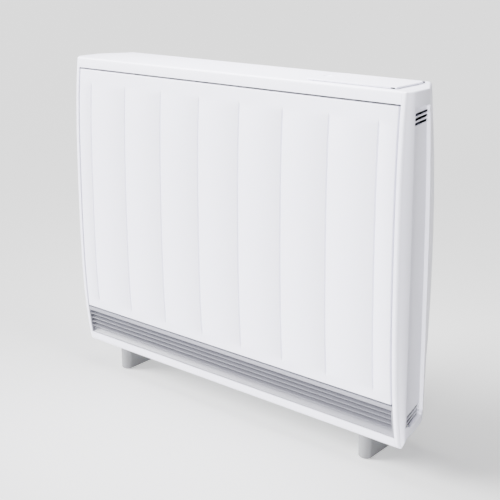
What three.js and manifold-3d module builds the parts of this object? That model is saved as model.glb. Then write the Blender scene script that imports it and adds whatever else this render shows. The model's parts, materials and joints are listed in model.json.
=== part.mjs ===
// Storage heater: a slim wall-side heater that stores heat in a brick core and blows it out of a low grille.
// Millimetres. X runs along the width, the front faces -Y, +Z is up and the feet stand on Z = 0.
// The origin is on the floor, in the middle of the width and of the depth.
import * as THREE from 'three';
import { mergeVertices } from 'three/addons/utils/BufferGeometryUtils.js';
import Module from 'manifold-3d';

const wasm = await Module();
wasm.setup();

// Overall size
const overallWidth = 867;
const overallHeight = 730;
const overallDepth = 170;
const wallSpacing = 18;
const casingDepth = overallDepth - wallSpacing;
const fitGap = 0.3;
const seamGap = 3;
const sheet = 1.2;
const cutPast = 1;
const cutFarPast = 5;

// Casing levels, counted from the floor up and from the top down
const casingBottom = 54;
const railHeight = 23;
const grilleHeight = 66;
const lidRise = 4;
const coverLip = 22.5;
const casingTop = overallHeight - lidRise;
const railTop = casingBottom + railHeight;
const grilleBottom = railTop + fitGap;
const grilleTop = grilleBottom + grilleHeight;
const panelBottom = grilleTop + seamGap;
const coverBottom = casingTop - coverLip;
const panelTop = coverBottom - seamGap;

// Bowed front: how far it falls back at the casing's top edge, as a square and a fourth-power part.
// At bowFoot it has fallen back just as far.
const bowFoot = 121;
const bowReach = (casingTop - bowFoot) / 2;
const bowSquare = 5.2;
const bowFourth = 7.3;
const topRound = 4;
const bottomRound = 9;
const topRoundShares = [0, 0.15, 0.5, 1];
const railRoundShares = [0, 0.12, 0.35, 0.65, 1];
const bowMiddle = casingTop - bowReach;
const front = -overallDepth / 2;
const casingRear = front + casingDepth;

// End caps, as distances from the front and from the cap's outer side
const capWidth = 17.2;
const capFlare = 6.7;
const capCorner = 6;
const capCornerEnd = -12;
const capFlankShares = [0.33, 0.67];
const capFlankLeast = 3;
const capEdge = 3;
const capWall = 2.5;
const capReturn = 45.5;
const shelfDepth = 30;
const rearBandWidth = 33.5;
const rearBandBow = 9;
const rearBandSwell = 1.5;
const rearCorner = 3;
const rearTurnLeast = 0.5;
const recessFront = 30;
const recessRear = 90;
const recessDepth = 5.5;
const recessHeadDrop = 29;
const recessFoot = 40;
const recessSweep = 17;
const recessStepInner = 1.5;
const recessStepOuter = 1;
const recessBevelInner = 7;
const recessBevelOuter = 12;
const recessFloorLean = 1;
const recessSweepStart = 14;
const recessSweepShort = 10;
const recessSweepPast = 1.5;
const recessPastFront = 8;
const recessPastRear = 16;
const lowerCutDepth = 24;
const lowerCutDrop = 3;
const lowerCutStart = 18;
const lowerCutEnd = 5;
const lowerCutUnder = 8;
const lowerCutHeadShare = 0.4;
const capSide = overallWidth / 2;
const capInner = capSide - capWidth;
const capReturnX = capSide - capReturn;
const halfPanel = capInner - seamGap;
const halfCover = capInner - fitGap;
const halfInside = capReturnX - fitGap;

// Side air slots
const slotCount = 3;
const slotLength = 42;
const slotHeight = 4.4;
const slotPitch = 8.2;
const slotHead = 13;
const slotFootRise = 25;
const slotFootTilt = 0.27;
const slotShift = 2;
const slotFootShift = 4;

// Front panel
const panelSheet = 1;
const grooveCount = 8;
const groovePitch = 107;
const grooveDepth = 1.3;
const grooveHalfWidth = 1.6;
const grooveEndTop = 25;
const grooveEndBottom = 16;
const grooveFade = 10;
const panelFlange = 10;

// Outlet grille
const slatCount = 4;
const slatPitch = 10.2;
const slatThickness = 1.6;
const slatTilt = 0.42;
const slatTopDrop = 17.5;
const slatInset = 1.2;
const grilleDepth = 34;
const grilleStrip = 8.5;
const grilleCheek = 3;
const slatTailGap = 2;
const ledgeHeight = 12;
const ledgeSlope = 9;
const ledgeSetback = 1;
const ledgeNoseHeight = 2;

// Base and feet
const trayLift = 4;
const trayFront = 40;
const trayFlange = 14;
const railSheet = 2;
const railLip = 36;
const intakeCount = 8;
const intakeLength = 60;
const intakeWidth = 6;
const intakeSpread = 0.7;
const footFromSide = 100.5;
const footWidth = 29;
const footNose = 38;
const footWall = 3;
const footSole = 4;
const footRound = 3;
const trayUnder = casingBottom + trayLift;
const trayTop = trayUnder + sheet;
const footMiddle = capSide - footFromSide;

// Back panel
const backLift = 2;
const ribCount = 3;
const ribHeight = 40;
const ribProud = 3;
const ribClear = 1.5;
const ventCount = 9;
const ventLength = 52;
const ventHeight = 5;
const ventSpread = 0.9;
const ventFoot = 14;
const ventHead = 20;

// Control well, its lid and what lies under it
const lidWidth = 193;
const lidFromRight = 37.5;
const lidFront = 27;
const lidPlate = 2.4;
const lidOverlap = 3.5;
const lidTopInset = 0.4;
const lidEdge = 1;
const lidRollEnd = -10;
const lidSideFit = 0.45;
const lidSideJoin = 0.5;
const lidSideEnd = 2;
const hingeSetback = 124;
const hingeDrop = 10;
const hingePinRadius = 1.5;
const hingeCheek = 3;
const hingeCheekFit = 0.5;
const bezelWall = 2.5;
const bezelDeckDrop = 6;
const bezelDeckThickness = 2;
const bezelDepth = 22;
const bezelDeckLength = 80;
const displayLength = 64;
const displayWidth = 26;
const displayThickness = 1.5;
const displayFromFront = 28;
const displayLedge = 3;
const buttonRadius = 4.6;
const buttonGap = 0.5;
const buttonProud = 1.2;
const buttonTravel = 1.2;
const buttonPitch = 19;
const buttonRowInset = 20;
const buttonCollar = 1.4;
const buttonCollarHeight = 1;
const buttonCrownRun = 0.8;
const buttonCrownRise = 0.1;
const buttonCrownDrop = 0.6;
const buttonSides = 16;
const buttonNames = ['button_mode', 'button_down', 'button_up', 'button_enter', 'button_boost'];

// Heat store
const sideInsulation = 34;
const frontInsulation = 22;
const rearInsulation = 24;
const topInsulation = 40;
const baseInsulation = 24;
const insulationFront = 27;
const chassisBay = 69.5;
const deckOverFlap = 19.8;
const deckInset = 6;
const deckSideInset = 1;
const mouthPastLeft = 40;
const mouthPastRight = 50;
const mouthSill = 6;
const mouthHead = 18;
const intakeSill = 20;
const intakeHead = 20;
const brickColumns = 3;
const brickRows = 4;
const roofGap = 38.5;
const brickSlack = 0.5;
const storeSlack = 2;
const channelCount = 3;
const channelWidth = 34;
const channelDepth = 8;
const elementRadius = 4;
const elementClearance = 0.5;
const slabClearance = 1;
const plateClearance = 2;
const notchFromAngle = 176;
const notchToAngle = 4;
const elementSpacing = 36;
const elementTail = 14;
const turnInset = 30;
const turnSteps = 10;
const sensorRadius = 3;
const sensorClearance = 0.5;
const sensorHeadRadius = 6;
const sensorHeadLength = 8;

// Fan and mixing flap
const fanFromLeft = 135.7;
const fanFromRight = 235.7;
const fanFrontRoom = 58;
const fanRearRoom = 14;
const fanFloorRoom = 11;
const rotorClearance = 4;
const bladeCount = 12;
const bladeChord = 9;
const bladeThickness = 1.2;
const bladeLean = 0.6;
const bladeInset = 1.5;
const discThickness = 2;
const rotorEndGap = 3;
const shaftRadius = 3;
const shaftClearance = 0.6;
const shaftPast = 14;
const shaftHoleClearance = 1;
const scrollGrowth = 7;
const scrollFrom = 60;
const scrollTo = -90;
const scrollSteps = 12;
const scrollLip = 2;
const tongueGap = 7;
const tongueLow = 22;
const tongueHigh = 4;
const housingSheet = 1.2;
const housingEnd = 2;
const housingEndRear = 6;
const housingEndHeadInset = 2;
const motorInset = 2;
const motorLength = 38;
const motorBoss = 6;
const bearingLength = 8;
const flapDepth = 52;
const flapOverRotor = 1;
const flapLength = 28;
const flapThickness = 1.2;
const flapEndGap = 1;
const flapRodRadius = 2;
const flapRodClearance = 0.45;
const flapRodInset = 0.5;
const flapRodPast = 8;
const actuatorLength = 22;
const actuatorFront = 4.4;
const actuatorRear = 10;
const actuatorHead = 5;
const actuatorFoot = 20;
const actuatorBore = 0.6;
const nibInset = 5;
const nibProud = 4;
const nibFoot = 18;
const nibHead = 4;
const fanLeft = -halfInside + fanFromLeft;
const fanRight = halfInside - fanFromRight;
const scrollEnd = (casingDepth - fanFrontRoom - fanRearRoom) / 2;
const scrollStart = scrollEnd - scrollGrowth;
const rotorRadius = scrollStart - rotorClearance;
const motorRadius = rotorRadius - motorInset;
const fanAxisDepth = fanFrontRoom + scrollEnd;
const fanAxisRise = fanFloorRoom + scrollEnd;
const flapRise = fanAxisRise + rotorRadius + flapOverRotor;
const deckRise = flapRise + deckOverFlap;

// Electrical bay. Board parts are placed from the board's front lower corner, in steps of the board's grid.
const boardRiseShare = 0.775;
const boardHeight = 120;
const boardFromRear = 90;
const boardLength = 76;
const boardThickness = 1.6;
const boardGrid = 2;
const boardSink = 0.6;
const standoff = 6;
const pillarRadius = 3;
const pillarInset = 6;
const chassisFoot = 24;
const boardParts = [
  { name: 'first relay', y: 4, z: 5, long: 9.5, high: 14, tall: 8 },
  { name: 'second relay', y: 17, z: 5, long: 9.5, high: 14, tall: 8 },
  { name: 'transformer', y: 5, z: 40, long: 17, high: 15, tall: 10 },
  { name: 'connector', y: 26, z: 29, long: 7, high: 26, tall: 4.5 },
];
const boardCans = [
  { name: 'large capacitor', y: 31, z: 11, radius: 3, tall: 11 },
  { name: 'small capacitor', y: 31, z: 21, radius: 2.5, tall: 9 },
];
const terminalFromRear = 18;
const terminalLength = 72;
const terminalHeight = 26;
const terminalDepth = 22;
const terminalRise = 20;
const terminalCount = 5;
const terminalPitch = 14;
const terminalInset = 8;
const terminalWellRadius = 4;
const cutoutRiseShare = 0.625;
const cutoutDiscRadius = 11;
const cutoutDiscThickness = 4;
const cutoutCapRadius = 8;
const cutoutCapEnd = 14;
const cutoutTabEnd = 22;
const cutoutTabOffset = 5;
const cutoutTabThickness = 0.8;
const cutoutTabHeight = 6;

// Fixing to the building
const bracketWidth = 60;
const bracketFromSide = 183.5;
const bracketHeight = 40;
const bracketDrop = 46;
const bracketSheet = 1.5;
const wallHoleRadius = 4;
const caseHoleRadius = 2.5;
const glandFromChassis = 21.8;
const glandRise = 145;
const glandTail = 12;
const glandNut = 5;
const glandRadius = 8;
const glandBore = 5;
const glandProud = 6;
const glandDome = 6;
const bracketMiddle = capSide - bracketFromSide;
const bracketHigh = coverBottom - bracketDrop;
const bracketLow = bracketHigh - bracketHeight;

// Finishes
const finish = (color, roughness, metalness) =>
  new THREE.MeshStandardMaterial({ color, roughness, metalness });
const whitePaint = () => finish(0xf1f1f5, 0.42, 0);
const whiteMoulding = () => finish(0xf0f1f5, 0.38, 0);
const slatGrey = () => finish(0xc4c6ce, 0.5, 0);
const footGrey = () => finish(0xa9abb0, 0.6, 0);
const darkMoulding = () => finish(0x3a3d42, 0.5, 0);
const buttonGrey = () => finish(0xd6d8dc, 0.5, 0);
const displayGlass = () => finish(0x11161c, 0.12, 0);
const zincSteel = () => finish(0xa9adb1, 0.45, 0.9);
const mineralBoard = () => finish(0xd8cfb8, 0.95, 0);
const ironBrick = () => finish(0x5b4a41, 0.9, 0);
const sheath = () => finish(0x6b6e70, 0.4, 0.9);
const boardGreen = () => finish(0x1f5a38, 0.6, 0);
const ceramicWhite = () => finish(0xe8e6df, 0.4, 0);

// ---------------------------------------------------------------- solids

// A closed geometry as a solid that can be joined and cut.
function solid(geometry) {
  const bare = geometry.index ? geometry.toNonIndexed() : geometry.clone();
  for (const name of Object.keys(bare.attributes)) {
    if (name !== 'position') bare.deleteAttribute(name);
  }
  const merged = mergeVertices(bare, 1e-4);
  const vertProperties = new Float32Array(merged.attributes.position.array);
  const triVerts = new Uint32Array(merged.index.array);
  return new wasm.Manifold(new wasm.Mesh({ numProp: 3, vertProperties, triVerts }));
}

// A solid as a flat-shaded geometry.
function geometryOf(body) {
  const mesh = body.getMesh();
  const geometry = new THREE.BufferGeometry();
  geometry.setAttribute('position', new THREE.BufferAttribute(new Float32Array(mesh.vertProperties), 3));
  geometry.setIndex(new THREE.BufferAttribute(new Uint32Array(mesh.triVerts), 1));
  const flat = geometry.toNonIndexed();
  flat.computeVertexNormals();
  return flat;
}

function join(first, ...others) {
  return others.reduce((body, other) => body.add(other), first);
}

function cut(first, ...tools) {
  return tools.reduce((body, tool) => body.subtract(tool), first);
}

function block(x0, x1, y0, y1, z0, z1) {
  const geometry = new THREE.BoxGeometry(x1 - x0, y1 - y0, z1 - z0);
  geometry.translate((x0 + x1) / 2, (y0 + y1) / 2, (z0 + z1) / 2);
  return solid(geometry);
}

function shapeOf(points) {
  return new THREE.Shape(points.map(([a, b]) => new THREE.Vector2(a, b)));
}

// An outline of [y, z] points, pulled along X.
function alongX(points, x0, x1) {
  const geometry = new THREE.ExtrudeGeometry(shapeOf(points), { depth: x1 - x0, bevelEnabled: false });
  const basis = new THREE.Matrix4().makeBasis(
    new THREE.Vector3(0, 1, 0),
    new THREE.Vector3(0, 0, 1),
    new THREE.Vector3(1, 0, 0),
  );
  geometry.applyMatrix4(basis);
  geometry.translate(x0, 0, 0);
  return solid(geometry);
}

// An outline of [x, y] points, pulled up.
function alongZ(points, z0, z1) {
  const geometry = new THREE.ExtrudeGeometry(shapeOf(points), { depth: z1 - z0, bevelEnabled: false });
  geometry.translate(0, 0, z0);
  return solid(geometry);
}

function rodX(radius, x0, x1, y, z, sides = 16) {
  const geometry = new THREE.CylinderGeometry(radius, radius, x1 - x0, sides);
  geometry.rotateZ(-Math.PI / 2);
  geometry.translate((x0 + x1) / 2, y, z);
  return solid(geometry);
}

function rodY(radius, x, y0, y1, z, sides = 16) {
  const geometry = new THREE.CylinderGeometry(radius, radius, y1 - y0, sides);
  geometry.translate(x, (y0 + y1) / 2, z);
  return solid(geometry);
}

function rodZ(radius, x, y, z0, z1, sides = 16) {
  const geometry = new THREE.CylinderGeometry(radius, radius, z1 - z0, sides);
  geometry.rotateX(Math.PI / 2);
  geometry.translate(x, y, (z0 + z1) / 2);
  return solid(geometry);
}

// Points on an arc round (a, b), angles in degrees, both ends included.
function arc(a, b, radius, from, to, steps) {
  return Array.from({ length: steps + 1 }, (_, k) => {
    const angle = THREE.MathUtils.degToRad(from + ((to - from) * k) / steps);
    return [a + radius * Math.cos(angle), b + radius * Math.sin(angle)];
  });
}

function circle(radius, sides) {
  return arc(0, 0, radius, 0, 360 - 360 / sides, sides - 1);
}

// A slot with round ends, tilted by `tilt` radians, as [a, b] points.
function roundSlot(a, b, length, height, tilt = 0, steps = 4) {
  const half = length / 2 - height / 2;
  const ends = [...arc(half, 0, height / 2, -90, 90, steps), ...arc(-half, 0, height / 2, 90, 270, steps)];
  const c = Math.cos(tilt);
  const s = Math.sin(tilt);
  return ends.map(([u, v]) => [a + u * c - v * s, b + u * s + v * c]);
}

// A body through stacked outlines: each level has a z and as many [x, y] points as the others, anticlockwise.
function loft(levels) {
  const count = levels[0].outline.length;
  const positions = levels.flatMap(({ z, outline }) => outline.flatMap(([x, y]) => [x, y, z]));
  const index = [];
  for (let level = 0; level < levels.length - 1; level += 1) {
    for (let k = 0; k < count; k += 1) {
      const a = level * count + k;
      const b = level * count + ((k + 1) % count);
      index.push(a, b, b + count, a, b + count, a + count);
    }
  }
  const lidAt = (level, flip) => {
    const contour = levels[level].outline.map(([x, y]) => new THREE.Vector2(x, y));
    for (const [a, b, c] of THREE.ShapeUtils.triangulateShape(contour, [])) {
      const corners = flip ? [a, c, b] : [a, b, c];
      index.push(...corners.map((corner) => corner + level * count));
    }
  };
  lidAt(0, true);
  lidAt(levels.length - 1, false);
  const geometry = new THREE.BufferGeometry();
  geometry.setAttribute('position', new THREE.Float32BufferAttribute(positions, 3));
  geometry.setIndex(index);
  return solid(geometry);
}

// The same body on the other side of the middle.
function mirrored(body) {
  return body.mirror([1, 0, 0]);
}

// ---------------------------------------------------------------- casing form

function spread(from, to, steps) {
  return Array.from({ length: steps + 1 }, (_, k) => from + ((to - from) * k) / steps);
}

// How far the bowed front stands behind the foremost plane at height z.
function setback(z) {
  const share = (z - bowMiddle) / bowReach;
  return bowSquare * share ** 2 + bowFourth * share ** 4;
}

// How far a quarter-round edge has fallen back at a distance from the edge.
function edgeFall(distance, radius) {
  const inside = Math.max(0, radius - distance);
  return radius - Math.sqrt(radius ** 2 - inside ** 2);
}

function casingFall(z) {
  return edgeFall(casingTop - z, topRound) + edgeFall(z - casingBottom, bottomRound);
}

function frontY(z) {
  return front + setback(z) + casingFall(z);
}

// Heights of the stacked outlines, close together where the edges are round.
function casingLevels(from, to, steps) {
  const top = topRoundShares.map((share) => casingTop - share * topRound);
  const bottom = topRoundShares.map((share) => casingBottom + share * bottomRound);
  const middle = spread(casingBottom + bottomRound, casingTop - topRound, steps);
  const all = [...bottom, ...middle, ...top, from, to].filter((z) => z >= from && z <= to);
  return [...new Set(all.map((z) => Number(z.toFixed(3))))].sort((a, b) => a - b);
}

// ---------------------------------------------------------------- front panel

function panelLines() {
  const first = (-(grooveCount - 1) * groovePitch) / 2;
  const across = [
    [-1, 0],
    [-0.4, 1],
    [0.4, 1],
    [1, 0],
  ];
  const lines = [{ x: -halfPanel, press: 0 }];
  for (let k = 0; k < grooveCount; k += 1) {
    for (const [share, press] of across) {
      lines.push({ x: first + k * groovePitch + share * grooveHalfWidth, press });
    }
  }
  lines.push({ x: halfPanel, press: 0 });
  return lines;
}

function panelRows() {
  const low = panelBottom + grooveEndBottom;
  const high = panelTop - grooveEndTop;
  const inner = spread(low + grooveFade, high - grooveFade, 7).map((z) => ({ z, press: 1 }));
  const flat = (z) => ({ z, press: 0 });
  return [flat(panelBottom), flat(low), ...inner, flat(high), flat(panelTop)];
}

// The bowed sheet with its pressed grooves, as a closed grid of two faces and their rim.
function panelSheetBody() {
  const lines = panelLines();
  const rows = panelRows();
  const wide = lines.length;
  const positions = [];
  for (const depth of [0, panelSheet]) {
    for (const row of rows) {
      for (const line of lines) {
        positions.push(line.x, frontY(row.z) + grooveDepth * row.press * line.press + depth, row.z);
      }
    }
  }
  const back = wide * rows.length;
  const index = [];
  const face = (a, b, c, d) => index.push(a, b, c, a, c, d);
  for (let r = 0; r < rows.length - 1; r += 1) {
    for (let k = 0; k < wide - 1; k += 1) {
      const a = r * wide + k;
      face(a, a + 1, a + 1 + wide, a + wide);
      face(back + a, back + a + wide, back + a + wide + 1, back + a + 1);
    }
    const left = r * wide;
    const right = left + wide - 1;
    face(left, left + wide, back + left + wide, back + left);
    face(right, back + right, back + right + wide, right + wide);
  }
  for (let k = 0; k < wide - 1; k += 1) {
    const low = k;
    const high = (rows.length - 1) * wide + k;
    face(low, back + low, back + low + 1, low + 1);
    face(high, high + 1, back + high + 1, back + high);
  }
  const geometry = new THREE.BufferGeometry();
  geometry.setAttribute('position', new THREE.Float32BufferAttribute(positions, 3));
  geometry.setIndex(index);
  return solid(geometry);
}

function frontPanel() {
  const heights = panelRows().map((row) => row.z);
  const near = heights.map((z) => [frontY(z) + panelSheet / 2, z]);
  const far = heights.map((z) => [frontY(z) + shelfDepth - 2 * fitGap, z]).reverse();
  const sideFlange = alongX([...near, ...far], -halfPanel, -halfPanel + panelSheet);
  const low = frontY(panelBottom);
  const high = frontY(panelTop);
  const turned = (y, z) =>
    block(-halfPanel, halfPanel, y + panelSheet / 2, y + panelFlange, z, z + panelSheet);
  const sill = turned(low, panelBottom);
  const head = turned(high, panelTop - panelSheet);
  return join(panelSheetBody(), sideFlange, mirrored(sideFlange), sill, head);
}

// ---------------------------------------------------------------- end caps

function rearCornerX(z) {
  const share = (z - bowMiddle) / bowReach;
  return capSide - rearBandWidth + rearBandBow * (1 - share ** 2);
}

function capSideFall(z) {
  return edgeFall(casingTop - z, capEdge) + edgeFall(z - casingBottom, capEdge);
}

// The right cap's outline at height z, drawn in by `inset`. With no inset it ends on the inner return.
function capOutline(z, inset) {
  const fall = capSideFall(z);
  const side = capSide - fall - inset;
  const rear = casingRear - edgeFall(casingTop - z, topRound) - inset;
  const corner = arc(
    capSide - fall - capFlare - capCorner,
    frontY(z) + capCorner,
    capCorner - inset,
    -90,
    capCornerEnd,
    3,
  );
  const [flankX, flankY] = corner[corner.length - 1];
  const flankRear = Math.max(front + recessFront, flankY + capFlankLeast);
  const flank = capFlankShares.map((share) => [
    side - (side - flankX) * (1 - share) ** 2,
    flankY + (flankRear - flankY) * share,
  ]);
  const inner = inset > 0 ? capReturnX - capWall : capReturnX;
  const seam = capInner + inset;
  const shelf = front + setback(z) + shelfDepth + inset;
  const bandX = Math.max(inner + rearCorner + rearTurnLeast, rearCornerX(z) - fall - inset);
  const bandY = rear - rearCorner;
  return [
    [seam, frontY(z) + inset],
    ...corner,
    ...flank,
    [side, flankRear],
    [side, front + recessRear],
    [(side + bandX) / 2 + rearBandSwell, (front + recessRear + bandY) / 2],
    [bandX, bandY],
    [bandX - rearCorner, rear],
    [inner, rear],
    [inner, shelf],
    [seam, shelf],
  ];
}

// What the side recess takes away, grown outwards by `grow`.
function recessTool(grow) {
  const floor = capSide - recessDepth - grow;
  const beyond = capSide + recessDepth * 2;
  const plan = [
    [floor, front + recessFront + recessStepInner - grow],
    [beyond, front + recessFront - recessStepOuter - grow],
    [beyond, front + recessRear + recessBevelOuter + grow],
    [floor - recessFloorLean, front + recessRear - recessBevelInner + grow],
  ];
  const head = casingTop - recessHeadDrop + grow;
  const foot = casingBottom + recessFoot - grow;
  const near = front + recessFront - recessPastFront - grow;
  const far = front + recessRear + recessPastRear + grow;
  const swept = spread(0, 1, 5).map((share) => [
    front + recessFront + recessSweepStart + (recessRear - recessFront - recessSweepShort) * share,
    foot + recessSweep * share ** 2,
  ]);
  const side = [
    [near, foot],
    ...swept,
    [far, foot + recessSweep * recessSweepPast],
    [far, head],
    [near, head],
  ];
  const prism = alongZ(plan, casingBottom, casingTop + grow);
  return prism.intersect(alongX(side, floor - cutFarPast, beyond + cutPast));
}

// The sloped cut that the cap has below the recess's swept foot, moved inwards by `inset`.
function lowerCutTool(inset) {
  const foot = casingBottom + recessFoot - lowerCutDrop;
  const start = front + recessFront + lowerCutStart;
  const near = new THREE.Vector3(capSide, start, foot);
  const far = new THREE.Vector3(capSide, front + recessRear + lowerCutEnd, foot + recessSweep);
  const under = new THREE.Vector3(capSide - lowerCutDepth, front + recessRear + lowerCutUnder, casingBottom);
  const along = far.clone().sub(near).normalize();
  const down = under.clone().sub(near);
  const out = along.clone().cross(down).normalize();
  if (out.x < 0) out.negate();
  const size = overallDepth * 1.5;
  const geometry = new THREE.BoxGeometry(size, size, size);
  const turn = new THREE.Quaternion().setFromUnitVectors(new THREE.Vector3(1, 0, 0), out);
  geometry.applyQuaternion(turn);
  const centre = near.clone().addScaledVector(out, size / 2 - inset);
  geometry.translate(centre.x, centre.y, centre.z);
  const high = far.z + inset * lowerCutHeadShare;
  const room = block(0, capSide + size, start - inset, casingRear + size, -size, high);
  return solid(geometry).intersect(room);
}

function airSlots() {
  const middle = front + (recessFront + recessRear) / 2 + slotShift;
  const reach = [capReturnX + cutFarPast, capSide + cutFarPast];
  const tools = [];
  for (let k = 0; k < slotCount; k += 1) {
    const high = casingTop - recessHeadDrop - slotHead - k * slotPitch;
    const low = casingBottom + recessFoot + slotFootRise - k * slotPitch;
    const headSlot = roundSlot(middle, high, slotLength, slotHeight);
    const footSlot = roundSlot(middle + slotFootShift, low, slotLength, slotHeight, slotFootTilt);
    tools.push(alongX(headSlot, ...reach), alongX(footSlot, ...reach));
  }
  return tools;
}

function capForm(inset) {
  const levels = casingLevels(casingBottom + inset, casingTop - inset, 9);
  const body = loft(levels.map((z) => ({ z, outline: capOutline(z, inset) })));
  return cut(body, recessTool(inset), lowerCutTool(inset));
}

function rightEndCap() {
  const shell = cut(capForm(0), capForm(capWall));
  const coverRoom = block(
    capReturnX - cutFarPast,
    capInner,
    front,
    casingRear + cutFarPast,
    coverBottom - sheet,
    casingTop + cutFarPast,
  );
  return cut(shell, coverRoom, ...airSlots());
}

// ---------------------------------------------------------------- top cover

function coverOutline(z, inset) {
  const fall = edgeFall(casingTop - z, topRound);
  const face = frontY(z) + inset;
  const rear = casingRear - fall - inset;
  const widen = inset > 0 ? capWall : 0;
  const half = halfCover + widen;
  const cornerX = rearCornerX(z) - fall - inset;
  const slope = (cornerX - capSide) / (casingRear - rearCorner - front - recessRear);
  const cornerY = front + recessRear + (halfCover - capSide + fall + inset) / slope;
  return [
    [-half, face],
    [half, face],
    [half, cornerY + widen / slope],
    [cornerX, rear - rearCorner],
    [cornerX - rearCorner, rear],
    [-cornerX + rearCorner, rear],
    [-cornerX, rear - rearCorner],
    [-half, cornerY + widen / slope],
  ];
}

const lidRight = capSide - lidFromRight;
const lidLeft = lidRight - lidWidth;
const hingeY = front + hingeSetback;
const hingeZ = overallHeight - hingeDrop;
const wellLeft = lidLeft + lidOverlap;
const wellRight = lidRight - lidOverlap;
const wellFront = front + lidFront + lidOverlap;
const wellRear = hingeY + hingeDrop + 2 * fitGap;

function topCover() {
  const outer = casingLevels(coverBottom, casingTop, 11).map((z) => ({ z, outline: coverOutline(z, 0) }));
  const innerTop = casingTop - sheet;
  const innerLevels = [coverBottom - sheet, coverBottom + coverLip / 2, innerTop];
  const inner = innerLevels.map((z) => ({ z, outline: coverOutline(z, sheet) }));
  const well = block(wellLeft, wellRight, wellFront, wellRear, innerTop - sheet, casingTop + sheet);
  return cut(loft(outer), loft(inner), well);
}

// ---------------------------------------------------------------- outlet grille and bottom rail

function frontStrip(low, high, steps) {
  return spread(low, high, steps).map((z) => [frontY(z), z]);
}

function grilleFrame() {
  const rear = front + grilleDepth;
  const stripLow = grilleTop - grilleStrip;
  const strip = [...frontStrip(stripLow, grilleTop, 2), [rear, grilleTop], [rear, stripLow]].reverse();
  const ledgeTop = grilleBottom + ledgeHeight;
  const ledgeNose = frontY(grilleBottom) + ledgeSetback;
  const ledge = [
    [ledgeNose, grilleBottom],
    [rear, grilleBottom],
    [rear, ledgeTop],
    [ledgeNose + ledgeSlope, ledgeTop],
    [ledgeNose, grilleBottom + ledgeNoseHeight],
  ];
  const cheekFront = frontStrip(grilleBottom, grilleTop, 4);
  const cheek = [...cheekFront, [rear, grilleTop], [rear, grilleBottom]].reverse();
  return join(
    alongX(strip, -halfCover, halfCover),
    alongX(ledge, -halfCover, halfCover),
    alongX(cheek, -halfCover, -halfCover + grilleCheek),
    alongX(cheek, halfCover - grilleCheek, halfCover),
  );
}

// One blade of the grille: round nose in front, tail higher up at the back, ends close to the cheeks.
function grilleSlat(order) {
  const noseZ = grilleTop - slatTopDrop - order * slatPitch;
  const noseY = frontY(noseZ) + slatInset + slatThickness / 2;
  const length = (front + grilleDepth - noseY - slatTailGap) / Math.cos(slatTilt);
  const half = slatThickness / 2;
  const c = Math.cos(slatTilt);
  const s = Math.sin(slatTilt);
  const section = [...arc(0, 0, half, 270, 90, 4), [length, half], [length, -half]].reverse();
  const placed = section.map(([u, v]) => [noseY + u * c - v * s, noseZ + u * s + v * c]);
  const reach = halfCover - grilleCheek - fitGap;
  return alongX(placed, -reach, reach);
}

function bottomRail() {
  const heights = railRoundShares.map((share) => casingBottom + share * bottomRound);
  const outer = [...heights, (casingBottom + bottomRound + railTop) / 2, railTop].map((z) => [frontY(z), z]);
  const inner = heights.slice(1).map((z) => [frontY(z) + railSheet, z + railSheet]);
  const lip = front + railLip;
  const section = [
    ...outer.reverse(),
    [lip, casingBottom],
    [lip, casingBottom + railSheet],
    [frontY(casingBottom) + railSheet, casingBottom + railSheet],
    ...inner,
    [frontY(railTop) + railSheet, railTop],
  ];
  return alongX(section, -halfCover, halfCover);
}

// ---------------------------------------------------------------- base, back and feet

function baseTray() {
  const near = front + trayFront;
  const far = casingRear - sheet - fitGap;
  const pan = block(-halfInside, halfInside, near, far, trayUnder, trayTop + trayFlange);
  const past = halfInside + cutPast;
  const hollow = block(-past, past, near + sheet, far - sheet, trayTop, trayTop + trayFlange + cutPast);
  const slots = [];
  const half = intakeLength / 2;
  const pitch = (2 * halfInside * intakeSpread) / intakeCount;
  for (let k = 0; k < intakeCount; k += 1) {
    const x = (k - (intakeCount - 1) / 2) * pitch;
    const y = front + fanAxisDepth + rotorRadius / 2;
    slots.push(block(x - half, x + half, y, y + intakeWidth, trayUnder - cutPast, trayTop + cutPast));
  }
  return cut(pan, hollow, ...slots);
}

// Rear sheet with pressed ribs that stand out to the rear.
function backPanel() {
  const low = casingBottom + trayLift + backLift;
  const high = coverBottom - fitGap;
  const step = (bracketLow - ribClear - ribHeight / 2 - low) / (ribCount - 0.5);
  const outside = [[casingRear, low]];
  for (let k = 0; k < ribCount; k += 1) {
    const middle = low + step * (k + 0.5);
    outside.push([casingRear, middle - ribHeight / 2]);
    outside.push([casingRear + ribProud, middle - ribHeight / 2 + ribProud * 2]);
    outside.push([casingRear + ribProud, middle + ribHeight / 2 - ribProud * 2]);
    outside.push([casingRear, middle + ribHeight / 2]);
  }
  outside.push([casingRear, high]);
  const inside = outside.map(([y, z]) => [y - sheet, z]).reverse();
  const body = alongX([...outside, ...inside], -halfInside, halfInside);
  const through = [casingRear - cutFarPast, casingRear + cutFarPast];
  const vents = [];
  const half = ventLength / 2;
  const ventPitch = (2 * halfInside * ventSpread) / ventCount;
  for (let k = 0; k < ventCount; k += 1) {
    const x = (k - (ventCount - 1) / 2) * ventPitch;
    for (const z of [low + ventFoot, high - ventHead]) {
      vents.push(block(x - half, x + half, ...through, z, z + ventHeight));
    }
  }
  const glandHole = rodY(glandRadius + fitGap, glandX, ...through, glandZ, 20);
  return cut(body, ...vents, glandHole);
}

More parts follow.
